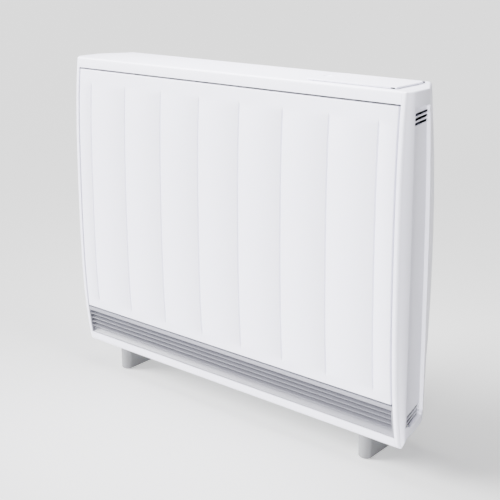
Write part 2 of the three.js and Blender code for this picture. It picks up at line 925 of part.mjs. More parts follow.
// Moulded foot: round nose in front, a rounded sole edge, and two pockets open at the top.
function foot(middle) {
  const half = footWidth / 2;
  const height = trayUnder - fitGap;
  const nose = front + footNose;
  const rear = overallDepth / 2;
  const plan = (inset) => [
    ...arc(middle, nose + half, half - inset, 180, 360, 10),
    [middle + half - inset, rear - inset],
    [middle - half + inset, rear - inset],
  ];
  const sole = [0, 0.35, 1].map((share) => ({
    z: share * footRound,
    outline: plan(edgeFall(share * footRound, footRound)),
  }));
  const body = loft([...sole, { z: height, outline: plan(0) }]);
  const web = (nose + rear) / 2;
  const inside = half - footWall;
  const pocket = (y0, y1) => block(middle - inside, middle + inside, y0, y1, footSole, height + cutPast);
  return cut(body, pocket(nose + half, web - footWall / 2), pocket(web + footWall / 2, rear - footWall));
}

// ---------------------------------------------------------------- control well

const coverUnder = casingTop - sheet;
const bezelTop = coverUnder - fitGap;
const deckTop = casingTop - bezelDeckDrop;
const deckUnder = deckTop - bezelDeckThickness;
const bezelBottom = casingTop - bezelDepth;
const deckRear = wellFront + bezelDeckLength;
const deckMiddle = (wellLeft + wellRight) / 2;
const buttonRowY = wellFront + bezelDeckLength - buttonRowInset;
const displayY = wellFront + displayFromFront;

function buttonX(order) {
  return deckMiddle + (order - (buttonNames.length - 1) / 2) * buttonPitch;
}

function controlLid() {
  const plateZ = overallHeight - lidPlate;
  const near = front + lidFront;
  const rim = casingTop + lidTopInset;
  const roll = arc(hingeY, hingeZ, hingeDrop, 90, lidRollEnd, 8);
  const rollInside = arc(hingeY, hingeZ, hingeDrop - lidPlate, lidRollEnd, 90, 6);
  const section = [
    [near, rim],
    [near, overallHeight - lidEdge],
    [near + lidEdge, overallHeight],
    ...roll,
    ...rollInside,
    [near + lidPlate, plateZ],
    [near + lidPlate, rim],
  ].reverse();
  const inset = lidOverlap + lidSideFit;
  const plate = alongX(section, lidLeft + inset, lidRight - inset);
  const overhangEnd = hingeY - hingeDrop + lidSideEnd;
  const side = [
    [near, rim],
    [overhangEnd, rim],
    [overhangEnd, overallHeight],
    [near + lidEdge, overallHeight],
    [near, overallHeight - lidEdge],
  ];
  const left = alongX(side, lidLeft, lidLeft + inset + lidSideJoin);
  const right = alongX(side, lidRight - inset - lidSideJoin, lidRight);
  const cheek = rodXAt(hingeDrop - hingeCheekFit, 24);
  const leftCheek = cheek(lidLeft + inset, lidLeft + inset + hingeCheek);
  const rightCheek = cheek(lidRight - inset - hingeCheek, lidRight - inset);
  const bore = rodXAt(hingePinRadius + fitGap, 16)(lidLeft, lidRight);
  return cut(join(plate, left, right, leftCheek, rightCheek), bore);
}

// A rod along the lid's hinge line.
function rodXAt(radius, sides) {
  return (x0, x1) => rodX(radius, x0, x1, hingeY, hingeZ, sides);
}

function hingePin() {
  return rodXAt(hingePinRadius, 12)(wellLeft - bezelWall + fitGap, wellRight + bezelWall - fitGap);
}

function controlBezel() {
  const outer = block(
    wellLeft - bezelWall,
    wellRight + bezelWall,
    wellFront - bezelWall,
    wellRear + bezelWall,
    bezelBottom,
    bezelTop,
  );
  const above = block(wellLeft, wellRight, wellFront, wellRear, deckTop, bezelTop + cutPast);
  const floorTop = bezelBottom + bezelWall;
  const behind = block(wellLeft, wellRight, deckRear, wellRear, floorTop, bezelTop + cutPast);
  const below = block(wellLeft, wellRight, wellFront, deckRear - bezelWall, floorTop, deckUnder);
  const holes = buttonNames.map((_, order) =>
    rodZ(buttonRadius + buttonGap, buttonX(order), buttonRowY, deckUnder - cutPast, deckTop + cutPast, 20),
  );
  const seat = displayBlock(fitGap, deckTop - displayThickness + fitGap, deckTop + cutPast);
  const window = displayBlock(-displayLedge, deckUnder - cutPast, deckTop);
  const past = bezelWall + cutPast;
  const pinBore = rodXAt(hingePinRadius + fitGap, 16)(wellLeft - past, wellRight + past);
  return cut(outer, above, behind, below, ...holes, seat, window, pinBore);
}

function displayBlock(grow, z0, z1) {
  const halfX = displayLength / 2 + grow;
  const halfY = displayWidth / 2 + grow;
  return block(deckMiddle - halfX, deckMiddle + halfX, displayY - halfY, displayY + halfY, z0, z1);
}

function displayWindow() {
  return displayBlock(0, deckTop - displayThickness + 2 * fitGap, deckTop + fitGap);
}

// A push button: domed head through the deck, and a collar that the deck stops.
function button(order) {
  const collarTop = deckUnder - fitGap;
  const collarBottom = collarTop - buttonTravel - buttonCollarHeight;
  const head = deckTop + buttonProud;
  const profile = [
    [0, collarBottom],
    [buttonRadius + buttonCollar, collarBottom],
    [buttonRadius + buttonCollar, collarTop],
    [buttonRadius, collarTop],
    [buttonRadius, head - buttonCrownDrop],
    [buttonRadius - buttonCrownRun, head - buttonCrownRise],
    [0, head],
  ];
  const geometry = new THREE.LatheGeometry(profile.map(([r, z]) => new THREE.Vector2(r, z)), buttonSides);
  geometry.rotateX(Math.PI / 2);
  geometry.translate(buttonX(order), buttonRowY, 0);
  return solid(geometry);
}

// ---------------------------------------------------------------- heat store

const deckPlateTop = trayTop + deckRise;
const coreBottom = deckPlateTop + fitGap;
const chassisX = halfInside - chassisBay;
const glandX = chassisX + glandFromChassis;
const glandZ = trayTop + glandRise;
const insulationRear = casingRear - sheet - fitGap;
const storeFront = front + insulationFront;
const coreFront = storeFront + frontInsulation + brickSlack;
const coreRear = insulationRear - rearInsulation - brickSlack;
const storeLeft = -halfInside + storeSlack;
const storeRight = chassisX - storeSlack;
const coreLeft = storeLeft + sideInsulation + brickSlack;
const coreRight = storeRight - sideInsulation - brickSlack;
const brickBottom = coreBottom + baseInsulation + fitGap;
const storeTop = bezelBottom - roofGap;
const brickTop = storeTop - topInsulation;
const brickStep = (brickTop - brickBottom + fitGap) / brickRows;
const brickHeight = brickStep - fitGap;
const columnStep = (coreRight - coreLeft + fitGap) / brickColumns;
const coreMiddleY = (coreFront + coreRear) / 2;
const elementYs = [coreMiddleY - elementSpacing / 2, coreMiddleY + elementSpacing / 2];
const turnX = coreLeft + turnInset;

function jointZ(order) {
  return brickBottom + order * brickStep - fitGap / 2;
}

function brick(row, column) {
  const z0 = brickBottom + row * brickStep;
  const z1 = z0 + brickHeight;
  const groove = elementRadius + elementClearance;
  const under = z0 - fitGap / 2;
  const over = z1 + fitGap / 2;
  const bottomNotches = elementYs.flatMap((y) => arc(y, under, groove, notchFromAngle, notchToAngle, 4));
  const topYs = [...elementYs].reverse();
  const topNotches = topYs.flatMap((y) => arc(y, over, groove, -notchToAngle, -notchFromAngle, 4));
  const section = [
    [coreFront, z0],
    ...bottomNotches,
    [coreRear, z0],
    [coreRear, z1],
    ...topNotches,
    [coreFront, z1],
  ];
  const x0 = coreLeft + column * columnStep;
  const x1 = x0 + columnStep - fitGap;
  const tools = [];
  const pitch = (x1 - x0) / channelCount;
  const half = channelWidth / 2;
  for (let k = 0; k < channelCount; k += 1) {
    const x = x0 + pitch * (k + 0.5);
    const across = [coreRear - channelDepth, coreRear + cutPast];
    tools.push(block(x - half, x + half, ...across, z0 - cutPast, z1 + cutPast));
  }
  if (column === 0) {
    const reach = elementSpacing / 2 + groove;
    const turnEnd = turnX - reach - 2 * elementClearance;
    for (const z of [under, over]) {
      const across = [coreMiddleY - reach, coreMiddleY + reach];
      tools.push(block(turnEnd, turnX + cutPast, ...across, z - groove, z + groove));
    }
  }
  return cut(alongX(section, x0, x1), ...tools);
}

// The centre line of a hairpin element: a straight leg, a half-round turn, and a straight leg back.
class HairpinLine extends THREE.Curve {
  constructor(tailX, z) {
    super();
    this.tailX = tailX;
    this.z = z;
  }

  getPoint(t, target = new THREE.Vector3()) {
    const share = (t * (turnSteps + 2) - 1) / turnSteps;
    const angle = Math.PI * (0.5 + THREE.MathUtils.clamp(share, 0, 1));
    const beyond = Math.max(0, -share, share - 1) * turnSteps;
    const x = turnX + (elementSpacing / 2) * Math.cos(angle) + beyond * (this.tailX - turnX);
    return target.set(x, coreMiddleY + (elementSpacing / 2) * Math.sin(angle), this.z);
  }

  getUtoTmapping(share) {
    return share;
  }
}

// Hairpin heating element, its tails in the electrical bay.
function heatingElement(order) {
  const line = new HairpinLine(chassisX + sheet + elementTail, jointZ(order));
  const ring = shapeOf(circle(elementRadius, 8));
  return solid(new THREE.ExtrudeGeometry(ring, { steps: turnSteps + 2, extrudePath: line }));
}

function elementHoles(x0, x1, extra) {
  const holes = [];
  for (let order = 1; order < brickRows; order += 1) {
    for (const y of elementYs) holes.push(rodX(elementRadius + extra, x0, x1, y, jointZ(order), 8));
  }
  return holes;
}

const sensorZ = brickBottom + brickStep * 1.5;
// Insulation slabs between two corners in the store: the whole depth, or only beside the core.
function wholeSlab(z0, z1) {
  return block(storeLeft, storeRight, storeFront, insulationRear, z0, z1);
}

function faceSlab(y0, y1) {
  return block(storeLeft, storeRight, y0, y1, brickBottom, brickTop);
}

function sideSlab(x0, x1) {
  return block(x0, x1, coreFront, coreRear, brickBottom, brickTop);
}

function rightInsulation() {
  const slab = sideSlab(coreRight + brickSlack, storeRight);
  const reach = [coreRight, storeRight + cutPast];
  const sensorHole = rodX(sensorRadius + sensorClearance, ...reach, coreMiddleY, sensorZ, 12);
  return cut(slab, ...elementHoles(...reach, slabClearance), sensorHole);
}

function coreDeck() {
  const near = front + trayFront + deckInset;
  const far = insulationRear - sheet - fitGap;
  const low = trayTop + fitGap;
  const half = halfInside - deckSideInset;
  const outer = block(-half, half, near, far, low, deckPlateTop);
  const ceiling = deckPlateTop - sheet;
  const tunnel = block(-halfInside, halfInside, near + sheet, far - sheet, low - cutPast, ceiling);
  const mouth = block(
    fanLeft - mouthPastLeft,
    fanRight + mouthPastRight,
    near - cutPast,
    near + sheet + cutPast,
    low + mouthSill,
    deckPlateTop - mouthHead,
  );
  const intake = block(
    fanLeft,
    fanRight,
    far - sheet - cutPast,
    far + cutPast,
    low + intakeSill,
    deckPlateTop - intakeHead,
  );
  return cut(outer, tunnel, mouth, intake);
}

// ---------------------------------------------------------------- fan and flap

const fanY = front + fanAxisDepth;
const fanZ = trayTop + fanAxisRise;
const flapY = front + flapDepth;
const flapZ = trayTop + flapRise;

function fanHousing() {
  const wall = spread(scrollFrom, scrollTo, scrollSteps).map((angle, k) => {
    const radius = scrollStart + ((scrollEnd - scrollStart) * k) / scrollSteps;
    const turn = THREE.MathUtils.degToRad(angle);
    return [Math.cos(turn), Math.sin(turn), radius];
  });
  const outside = wall.map(([c, s, r]) => [fanY + c * (r + housingSheet), fanZ + s * (r + housingSheet)]);
  const inside = wall.map(([c, s, r]) => [fanY + c * r, fanZ + s * r]).reverse();
  const duct = fanY - scrollEnd;
  const low = fanZ - scrollEnd;
  const lip = low - scrollLip;
  const scroll = [...outside, [duct, lip - housingSheet], [duct, lip], ...inside].reverse();
  const tongueY = fanY - rotorRadius - tongueGap;
  const tongueSpan = [fanZ - tongueLow, fanZ - tongueHigh];
  const tongue = block(fanLeft, fanRight, tongueY, tongueY + housingSheet, ...tongueSpan);
  const endRear = fanY + scrollStart + housingEndRear;
  const endShape = [
    [flapY - actuatorFront, trayTop + fitGap],
    [endRear, trayTop + fitGap],
    [endRear, flapZ],
    [fanY + scrollStart - housingEndHeadInset, flapZ + actuatorHead],
    [flapY - actuatorFront, flapZ + actuatorHead],
  ];
  const left = alongX(endShape, fanLeft, fanLeft + housingEnd);
  const right = alongX(endShape, fanRight - housingEnd, fanRight);
  const through = [fanLeft - cutPast, fanRight + cutPast];
  const shaftHole = rodX(shaftRadius + shaftHoleClearance, ...through, fanY, fanZ, 16);
  const rodHole = rodX(flapRodRadius + flapRodClearance, ...through, flapY, flapZ, 16);
  return cut(join(alongX(scroll, fanLeft, fanRight), tongue, left, right), shaftHole, rodHole);
}

function fanImpeller() {
  const left = fanLeft + housingEnd + rotorEndGap;
  const right = fanRight - housingEnd - rotorEndGap;
  const middle = (left + right) / 2;
  const starts = [left, middle - discThickness / 2, right - discThickness];
  const discs = starts.map((x) => rodX(rotorRadius, x, x + discThickness, fanY, fanZ, 20));
  const shaft = rodX(shaftRadius, fanLeft - bearingLength + 1, fanRight + shaftPast, fanY, fanZ, 12);
  const blades = [];
  for (let k = 0; k < bladeCount; k += 1) {
    const geometry = new THREE.BoxGeometry(right - left - discThickness, bladeChord, bladeThickness);
    geometry.rotateX(bladeLean);
    geometry.translate(middle, rotorRadius - bladeChord / 2 - bladeInset, 0);
    geometry.rotateX((k * 2 * Math.PI) / bladeCount);
    geometry.translate(0, fanY, fanZ);
    blades.push(solid(geometry));
  }
  return join(shaft, ...discs, ...blades);
}

function fanMotor() {
  const start = fanRight + fitGap;
  const body = rodX(motorRadius, start, start + motorLength, fanY, fanZ, 24);
  const end = start + motorLength;
  const boss = rodX(motorRadius / 2, end - cutPast, end + motorBoss, fanY, fanZ, 16);
  const bore = rodX(shaftRadius + shaftClearance, start - cutPast, fanRight + shaftPast + 1, fanY, fanZ, 16);
  return cut(join(body, boss), bore);
}

function fanBearing() {
  const end = fanLeft - fitGap;
  const body = rodX(shaftRadius * 3, end - bearingLength, end, fanY, fanZ, 20);
  const through = [end - bearingLength - cutPast, end + cutPast];
  const bore = rodX(shaftRadius + shaftClearance, ...through, fanY, fanZ, 16);
  return cut(body, bore);
}

function mixingFlap() {
  const rod = rodX(flapRodRadius, fanLeft + flapRodInset, fanRight + flapRodPast, flapY, flapZ, 12);
  const inner = housingEnd + flapEndGap;
  const half = flapThickness / 2;
  const along = [fanLeft + inner, fanRight - inner];
  const plate = block(...along, flapY - half, flapY + half, flapZ - flapLength, flapZ);
  return join(rod, plate);
}

function flapActuator() {
  const x0 = fanRight + fitGap;
  const x1 = x0 + actuatorLength;
  const rear = flapY + actuatorRear;
  const body = block(x0, x1, flapY - actuatorFront, rear, flapZ - actuatorFoot, flapZ + actuatorHead);
  const nibSpan = [flapZ - nibFoot, flapZ - nibHead];
  const nib = block(x0 + nibInset, x1 - nibInset, rear - 1, rear + nibProud, ...nibSpan);
  const bore = rodX(flapRodRadius + actuatorBore, x0 - cutPast, fanRight + flapRodPast + 1, flapY, flapZ, 16);
  return cut(join(body, nib), bore);
}

// ---------------------------------------------------------------- electrical bay

const boardLow = brickBottom + brickStep * brickRows * boardRiseShare;
const boardHigh = boardLow + boardHeight;
const boardNear = casingRear - boardFromRear;
const boardFar = boardNear + boardLength;

function chassisPlate() {
  const across = [storeFront, insulationRear];
  const plate = block(chassisX, chassisX + sheet, ...across, coreBottom, storeTop);
  const low = block(chassisX, chassisX + chassisFoot, ...across, coreBottom, coreBottom + sheet);
  const pillars = [];
  for (const y of [boardNear + pillarInset, boardFar - pillarInset]) {
    for (const z of [boardLow + pillarInset, boardHigh - pillarInset]) {
      pillars.push(rodX(pillarRadius, chassisX, chassisX + sheet + standoff, y, z, 10));
    }
  }
  const reach = [chassisX - cutPast, chassisX + sheet + cutPast];
  const sensorHole = rodX(sensorRadius + sensorClearance, ...reach, coreMiddleY, sensorZ, 12);
  return cut(join(plate, low, ...pillars), ...elementHoles(...reach, plateClearance), sensorHole);
}

function controlBoard() {
  const x0 = chassisX + sheet + standoff + fitGap;
  const face = x0 + boardThickness;
  const root = face - boardSink;
  const board = block(x0, face, boardNear, boardFar, boardLow, boardHigh);
  const parts = boardParts.map(({ y, z, long, high, tall }) => {
    const y0 = boardNear + y * boardGrid;
    const z0 = boardLow + z * boardGrid;
    return block(root, face + tall * boardGrid, y0, y0 + long * boardGrid, z0, z0 + high * boardGrid);
  });
  const cans = boardCans.map(({ y, z, radius, tall }) => {
    const y0 = boardNear + y * boardGrid;
    const z0 = boardLow + z * boardGrid;
    return rodX(radius * boardGrid, root, face + tall * boardGrid, y0, z0, 14);
  });
  return join(board, ...parts, ...cans);
}

function terminalBlock() {
  const x0 = chassisX + sheet + fitGap;
  const y0 = casingRear - terminalFromRear - terminalLength;
  const low = coreBottom + terminalRise;
  const body = block(x0, x0 + terminalDepth, y0, y0 + terminalLength, low, low + terminalHeight);
  const wells = [];
  for (let k = 0; k < terminalCount; k += 1) {
    const y = y0 + terminalInset + k * terminalPitch;
    const well = [x0 + terminalInset, x0 + terminalDepth + cutPast];
    wells.push(rodX(terminalWellRadius, ...well, y, low + terminalHeight / 2, 12));
  }
  return cut(body, ...wells);
}

function thermalCutout() {
  const x0 = chassisX + sheet + fitGap;
  const z = brickBottom + brickStep * brickRows * cutoutRiseShare;
  const capStart = x0 + cutoutDiscThickness - 1;
  const capEnd = x0 + cutoutCapEnd;
  const disc = rodX(cutoutDiscRadius, x0, x0 + cutoutDiscThickness, coreMiddleY, z, 20);
  const cap = rodX(cutoutCapRadius, capStart, capEnd, coreMiddleY, z, 16);
  const thick = cutoutTabThickness / 2;
  const high = cutoutTabHeight / 2;
  const tabs = [-cutoutTabOffset, cutoutTabOffset].map((offset) => {
    const y = coreMiddleY + offset;
    return block(capEnd - 1, x0 + cutoutTabEnd, y - thick, y + thick, z - high, z + high);
  });
  return join(disc, cap, ...tabs);
}

function coreSensor() {
  const head = chassisX + sheet + fitGap;
  const probe = rodX(sensorRadius, coreRight + brickSlack, head + 1, coreMiddleY, sensorZ, 10);
  return join(probe, rodX(sensorHeadRadius, head, head + sensorHeadLength, coreMiddleY, sensorZ, 12));
}

// ---------------------------------------------------------------- fixing to the building

function cableGland() {
  const nutRadius = glandRadius * 1.5;
  const inner = casingRear - sheet - fitGap;
  const outer = casingRear + fitGap;
  const rod = (radius, y0, y1, sides) => rodY(radius, glandX, y0, y1, glandZ, sides);
  const body = rod(glandRadius, casingRear - glandTail, outer + glandProud, 20);
  const nut = rod(nutRadius, inner - glandNut, inner, 6);
  const collar = rod(nutRadius, outer, outer + glandProud, 6);
  const dome = rod(glandRadius, casingRear + glandProud, casingRear + glandProud + glandDome, 20);
  const bore = rod(glandBore, casingRear - glandTail - cutPast, outer + glandProud + glandDome, 16);
  return cut(join(body, nut, collar, dome), bore);
}

// Folded strap that carries the heater on the wall, its wall leg in the plane of the feet's rear ends.
function wallBracket(middle) {
  const near = casingRear + fitGap;
  const wall = overallDepth / 2;
  const section = [
    [near, bracketLow],
    [near + bracketSheet, bracketLow],
    [near + bracketSheet, bracketHigh - bracketSheet],
    [wall, bracketHigh - bracketSheet],
    [wall, bracketHigh + bracketHeight],
    [wall - bracketSheet, bracketHigh + bracketHeight],
    [wall - bracketSheet, bracketHigh],
    [near, bracketHigh],
  ];
  const half = bracketWidth / 2;
  const strap = alongX(section, middle - half, middle + half);
  const past = bracketSheet + cutPast;
  const wallHoleZ = bracketHigh + bracketHeight / 2;
  const caseHoleZ = bracketLow + bracketHeight / 2;
  const wallHole = rodY(wallHoleRadius, middle, wall - past, wall + past, wallHoleZ, 16);
  const caseHole = rodY(caseHoleRadius, middle, near - past, near + past, caseHoleZ, 12);
  return cut(strap, wallHole, caseHole);
}

// ---------------------------------------------------------------- assembly

const heater = new THREE.Group();

function add(name, body, material) {
  const mesh = new THREE.Mesh(geometryOf(body), material());
  mesh.name = name;
  heater.add(mesh);
}

add('front_panel', frontPanel(), whitePaint);
add('top_cover', topCover(), whiteMoulding);
const rightCap = rightEndCap();
add('right_end_cap', rightCap, whiteMoulding);
add('left_end_cap', mirrored(rightCap), whiteMoulding);
add('grille_frame', grilleFrame(), slatGrey);
for (let order = 0; order < slatCount; order += 1) {
  add(`grille_slat_${order + 1}`, grilleSlat(order), slatGrey);
}
add('bottom_rail', bottomRail(), whitePaint);
add('base_tray', baseTray(), zincSteel);
add('back_panel', backPanel(), zincSteel);
add('left_foot', foot(-footMiddle), footGrey);
add('right_foot', foot(footMiddle), footGrey);
add('left_wall_bracket', wallBracket(-bracketMiddle), zincSteel);
add('right_wall_bracket', wallBracket(bracketMiddle), zincSteel);
add('cable_gland', cableGland(), darkMoulding);

add('control_lid', controlLid(), whiteMoulding);
add('lid_hinge_pin', hingePin(), zincSteel);
add('control_bezel', controlBezel(), darkMoulding);
add('display_window', displayWindow(), displayGlass);
buttonNames.forEach((name, order) => add(name, button(order), buttonGrey));

add('core_deck', coreDeck(), zincSteel);
add('base_insulation', wholeSlab(coreBottom, coreBottom + baseInsulation), mineralBoard);
add('front_insulation', faceSlab(storeFront, storeFront + frontInsulation), mineralBoard);
add('rear_insulation', faceSlab(insulationRear - rearInsulation, insulationRear), mineralBoard);
add('left_insulation', sideSlab(storeLeft, coreLeft - brickSlack), mineralBoard);
add('right_insulation', rightInsulation(), mineralBoard);
add('top_insulation', wholeSlab(brickTop + fitGap, storeTop), mineralBoard);
for (let row = 0; row < brickRows; row += 1) {
  for (let column = 0; column < brickColumns; column += 1) {
    add(`brick_${row + 1}_${column + 1}`, brick(row, column), ironBrick);
  }
}
for (let order = 1; order < brickRows; order += 1) {
  add(`heating_element_${order}`, heatingElement(order), sheath);
}

add('fan_housing', fanHousing(), zincSteel);
add('fan_impeller', fanImpeller(), zincSteel);
add('fan_motor', fanMotor(), darkMoulding);
add('fan_bearing', fanBearing(), darkMoulding);
add('mixing_flap', mixingFlap(), zincSteel);
add('flap_actuator', flapActuator(), ceramicWhite);

add('chassis_plate', chassisPlate(), zincSteel);
add('control_board', controlBoard(), boardGreen);
add('terminal_block', terminalBlock(), ceramicWhite);
add('thermal_cutout', thermalCutout(), ceramicWhite);
add('core_sensor', coreSensor(), zincSteel);

export default heater;
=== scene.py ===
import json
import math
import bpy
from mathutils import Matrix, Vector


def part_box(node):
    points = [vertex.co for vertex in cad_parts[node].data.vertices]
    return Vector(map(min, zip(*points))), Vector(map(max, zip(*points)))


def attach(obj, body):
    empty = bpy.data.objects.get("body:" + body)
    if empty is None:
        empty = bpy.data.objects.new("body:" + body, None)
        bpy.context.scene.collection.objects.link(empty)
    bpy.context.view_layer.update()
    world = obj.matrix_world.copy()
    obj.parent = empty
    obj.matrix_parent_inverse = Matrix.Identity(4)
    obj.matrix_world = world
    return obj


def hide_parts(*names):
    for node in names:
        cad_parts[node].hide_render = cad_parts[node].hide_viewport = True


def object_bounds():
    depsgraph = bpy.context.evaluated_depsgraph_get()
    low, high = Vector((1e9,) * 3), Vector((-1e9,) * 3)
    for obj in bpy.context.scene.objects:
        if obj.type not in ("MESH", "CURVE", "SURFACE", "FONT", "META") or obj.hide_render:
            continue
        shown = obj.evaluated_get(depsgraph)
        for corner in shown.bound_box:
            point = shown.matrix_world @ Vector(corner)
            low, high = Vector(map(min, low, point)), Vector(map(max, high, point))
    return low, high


bl_info = {
    "name": "Storage heater",
    "version": (1, 0, 0),
    "blender": (4, 5, 0),
    "location": "View3D > Sidebar > Heater",
    "description": "Dresses the packed frame of a slim storage heater and sets its studio",
    "category": "Object",
}

import bmesh
import bpy
from bpy.props import FloatProperty, FloatVectorProperty, IntProperty, PointerProperty
from mathutils import Matrix, Vector

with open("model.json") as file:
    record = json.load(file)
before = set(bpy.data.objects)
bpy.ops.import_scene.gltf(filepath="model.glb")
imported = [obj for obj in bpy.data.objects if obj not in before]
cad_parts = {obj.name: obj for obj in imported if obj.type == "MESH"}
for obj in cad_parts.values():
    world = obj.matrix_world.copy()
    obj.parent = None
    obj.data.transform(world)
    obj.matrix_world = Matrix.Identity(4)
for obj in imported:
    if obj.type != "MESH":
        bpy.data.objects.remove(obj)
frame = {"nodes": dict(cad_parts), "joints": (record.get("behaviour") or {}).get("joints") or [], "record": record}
CAD_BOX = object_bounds()

MM = 0.001
# How far the caps' flanks stay inside the solids' box, so that nothing soft reaches past it.
SKIN = 0.2 * MM
# Bodies of the frame that pieces ride on, besides the buttons' own.
HOUSING = "heater"
LID = "lid"
# An edge is softened where its faces turn by more than this, in degrees.
HARD_EDGE = 35
# Outlines between the casing's round top and bottom edges, where caps and cover are lofted.
CASING_STEPS = 46
# Lines of the panel's sheet across one groove, in half widths of the groove.
GROOVE_LINES = (-1.15, -0.8, -0.55, -0.3, 0, 0.3, 0.55, 0.8, 1.15)


# ---------------------------------------------------------------- sizes and colours


def length(name, description, millimetres):
    size = millimetres * MM
    return FloatProperty(name=name, description=description, default=size, unit="LENGTH", precision=4)


def number(name, description, value):
    return IntProperty(name=name, description=description, default=value, min=1)


def colour(name, description, value):
    return FloatVectorProperty(
        name=name, description=description, default=value, subtype="COLOR", min=0.0, max=1.0
    )


class HeaterCasing(bpy.types.PropertyGroup):
    """Form of the bowed casing and its end caps"""

    bow_reach: length("Bow reach", "Height over which the front falls back by the two bow parts", 302.5)
    bow_square: length("Bow, square part", "Fall of the front that grows as the square of the height", 5.2)
    bow_fourth: length("Bow, fourth part", "Fall of the front that grows as the fourth power", 7.3)
    top_round: length("Top edge", "Radius of the casing's top edge", 4)
    bottom_round: length("Bottom edge", "Radius of the casing's bottom front edge", 9)
    cap_width: length("Cap width", "Width of an end cap seen from the front", 17.2)
    cap_flare: length("Cap flare", "How far a cap's flank swells out behind its corner", 6.7)
    cap_corner: length("Cap corner", "Radius of a cap's front corner", 6)
    cap_wall: length("Cap wall", "Wall thickness of an end cap", 2.5)
    cap_return: length("Cap return", "How far a cap reaches inwards at the rear", 45.5)
    shelf_depth: length("Shelf depth", "Depth of the cap's inner shelf behind the front", 30)
    rear_band: length("Rear band", "Width over which a cap turns in at the rear", 33.5)
    rear_band_bow: length("Rear band bow", "How far the rear corner swells out at mid-height", 9)
    rear_band_head: length("Rear band head", "How far the rear band moves forward towards the top", 12)
    rear_corner_head: length("Rear corner head", "How far the rear corner moves in towards the top", 5.5)
    rear_corner: length("Rear corner", "Width of the small rear chamfer", 3)
    recess_front: length("Recess front", "Depth at which the side recess starts", 30)
    recess_rear: length("Recess rear", "Depth at which the side recess ends", 90)
    recess_depth: length("Recess depth", "How far the side recess is set in", 5)
    recess_head: length("Recess head", "Distance of the recess's head from the casing's top", 29)
    recess_foot: length("Recess foot", "Height of the recess's foot above the casing's bottom", 44)
    recess_sweep: length("Recess sweep", "How far the recess's foot sweeps up towards the rear", 15)
    lower_cut: length("Lower cut", "How far the sloped cut under the recess runs in", 24)
    heel_front: length("Heel front", "Height of the flank's lower edge at its front", 10)
    heel_rear: length("Heel rear", "Height of the flank's lower edge behind the recess", 45)


class HeaterRepeats(bpy.types.PropertyGroup):
    """Grooves, slats, slots and fasteners"""

    groove_count: number("Grooves", "Pressed grooves in the front panel", 8)
    groove_pitch: length("Groove pitch", "Distance between grooves", 107)
    groove_depth: length("Groove depth", "Depth of a pressed groove", 3.8)
    groove_half: length("Groove half width", "Half the width of a pressed groove", 2.1)
    groove_top: length("Groove top margin", "Distance from the panel's top to the grooves", 25)
    groove_bottom: length("Groove bottom margin", "Distance from the panel's bottom to the grooves", 16)
    groove_fade: length("Groove fade", "Length over which a groove's end fades out", 14)
    slat_count: number("Slats", "Slats in the outlet grille", 4)
    slat_pitch: length("Slat pitch", "Distance between slats", 10.2)
    slat_drop: length("Slat drop", "Distance from the grille's top to the first slat", 17.5)
    slat_thickness: length("Slat thickness", "Thickness of one slat", 1.6)
    slat_depth: length("Slat depth", "Depth of one slat, front to back", 10)
    slat_inset: length("Slat inset", "How far a slat's nose stands behind the front", 1.2)
    slot_count: number("Side slots", "Slots in each group in an end cap", 3)
    slot_length: length("Slot length", "Length of a side slot", 46)
    slot_height: length("Slot height", "Height of a side slot", 5.4)
    slot_pitch: length("Slot pitch", "Distance between side slots", 8.2)
    slot_head: length("Slot head", "Distance from the recess's head to the first slot", 13)
    slot_foot: length("Slot foot", "Height of the first lower slot over the recess's foot", 21)
    screw_radius: length("Screw head", "Radius of a casing screw's head", 3.4)
    spread_seed: number("Screw turn", "Seed for how the screws happen to be turned", 7)


class HeaterColours(bpy.types.PropertyGroup):
    """Colours of the finishes"""

    white: colour("White", "Panel and rail paint, and the mouldings", (0.79, 0.785, 0.90))
    frame: colour("Frame grey", "Grille frame", (0.21, 0.21, 0.245))
    # Slat colour: set far darker than the slats' real grey, as painted shade for the dark gaps between the slats.
    slat: colour("Slat grey", "Slats", (0.13, 0.13, 0.155))
    foot: colour("Foot grey", "Feet", (0.17, 0.172, 0.18))
    dark: colour("Dark moulding", "Control tray, gland and motor", (0.045, 0.048, 0.055))
    button: colour("Button grey", "Push buttons", (0.62, 0.63, 0.65))
    zinc: colour("Zinc", "Zinc-coated sheet", (0.56, 0.58, 0.60))
    board: colour("Mineral board", "Insulation slabs", (0.68, 0.62, 0.49))
    brick: colour("Brick", "Heat store bricks", (0.115, 0.075, 0.055))
    floor: colour("Floor", "Studio floor", (0.80, 0.80, 0.80))


def casing():
    return bpy.context.scene.heater_casing


def repeats():
    return bpy.context.scene.heater_repeats


def colours():
    return bpy.context.scene.heater_colours


# ---------------------------------------------------------------- node trees


def socket_or_value(tree, target, value):
    if isinstance(value, bpy.types.NodeSocket):
        tree.links.new(value, target)
    else:
        target.default_value = value


class Wiring:
    """Short names for the nodes that the materials and the geometry trees use."""

    def __init__(self, tree):
        self.tree = tree

    def node(self, kind, inputs=None, **settings):
        """A new node with its settings, and with its inputs linked or set."""
        made = self.tree.nodes.new(kind)
        for key, value in settings.items():
            setattr(made, key, value)
        for key, value in (inputs or {}).items():
            socket_or_value(self.tree, made.inputs[key], value)
        return made

    def math(self, operation, *values):
        return self.node("ShaderNodeMath", dict(enumerate(values)), operation=operation).outputs[0]

    def ramp(self, value, low, high, to_low=0.0, to_high=1.0, smooth=False):
        sockets = ("Value", "From Min", "From Max", "To Min", "To Max")
        inputs = dict(zip(sockets, (value, low, high, to_low, to_high)))
        shape = "SMOOTHSTEP" if smooth else "LINEAR"
        return self.node("ShaderNodeMapRange", inputs, interpolation_type=shape).outputs["Result"]

    def blend(self, share, first, second):
        """A colour mix. Its sockets share their names with other kinds of mix, so numbers pick them."""
        return self.node("ShaderNodeMix", {0: share, 6: first, 7: second}, data_type="RGBA").outputs[2]


# ---------------------------------------------------------------- materials


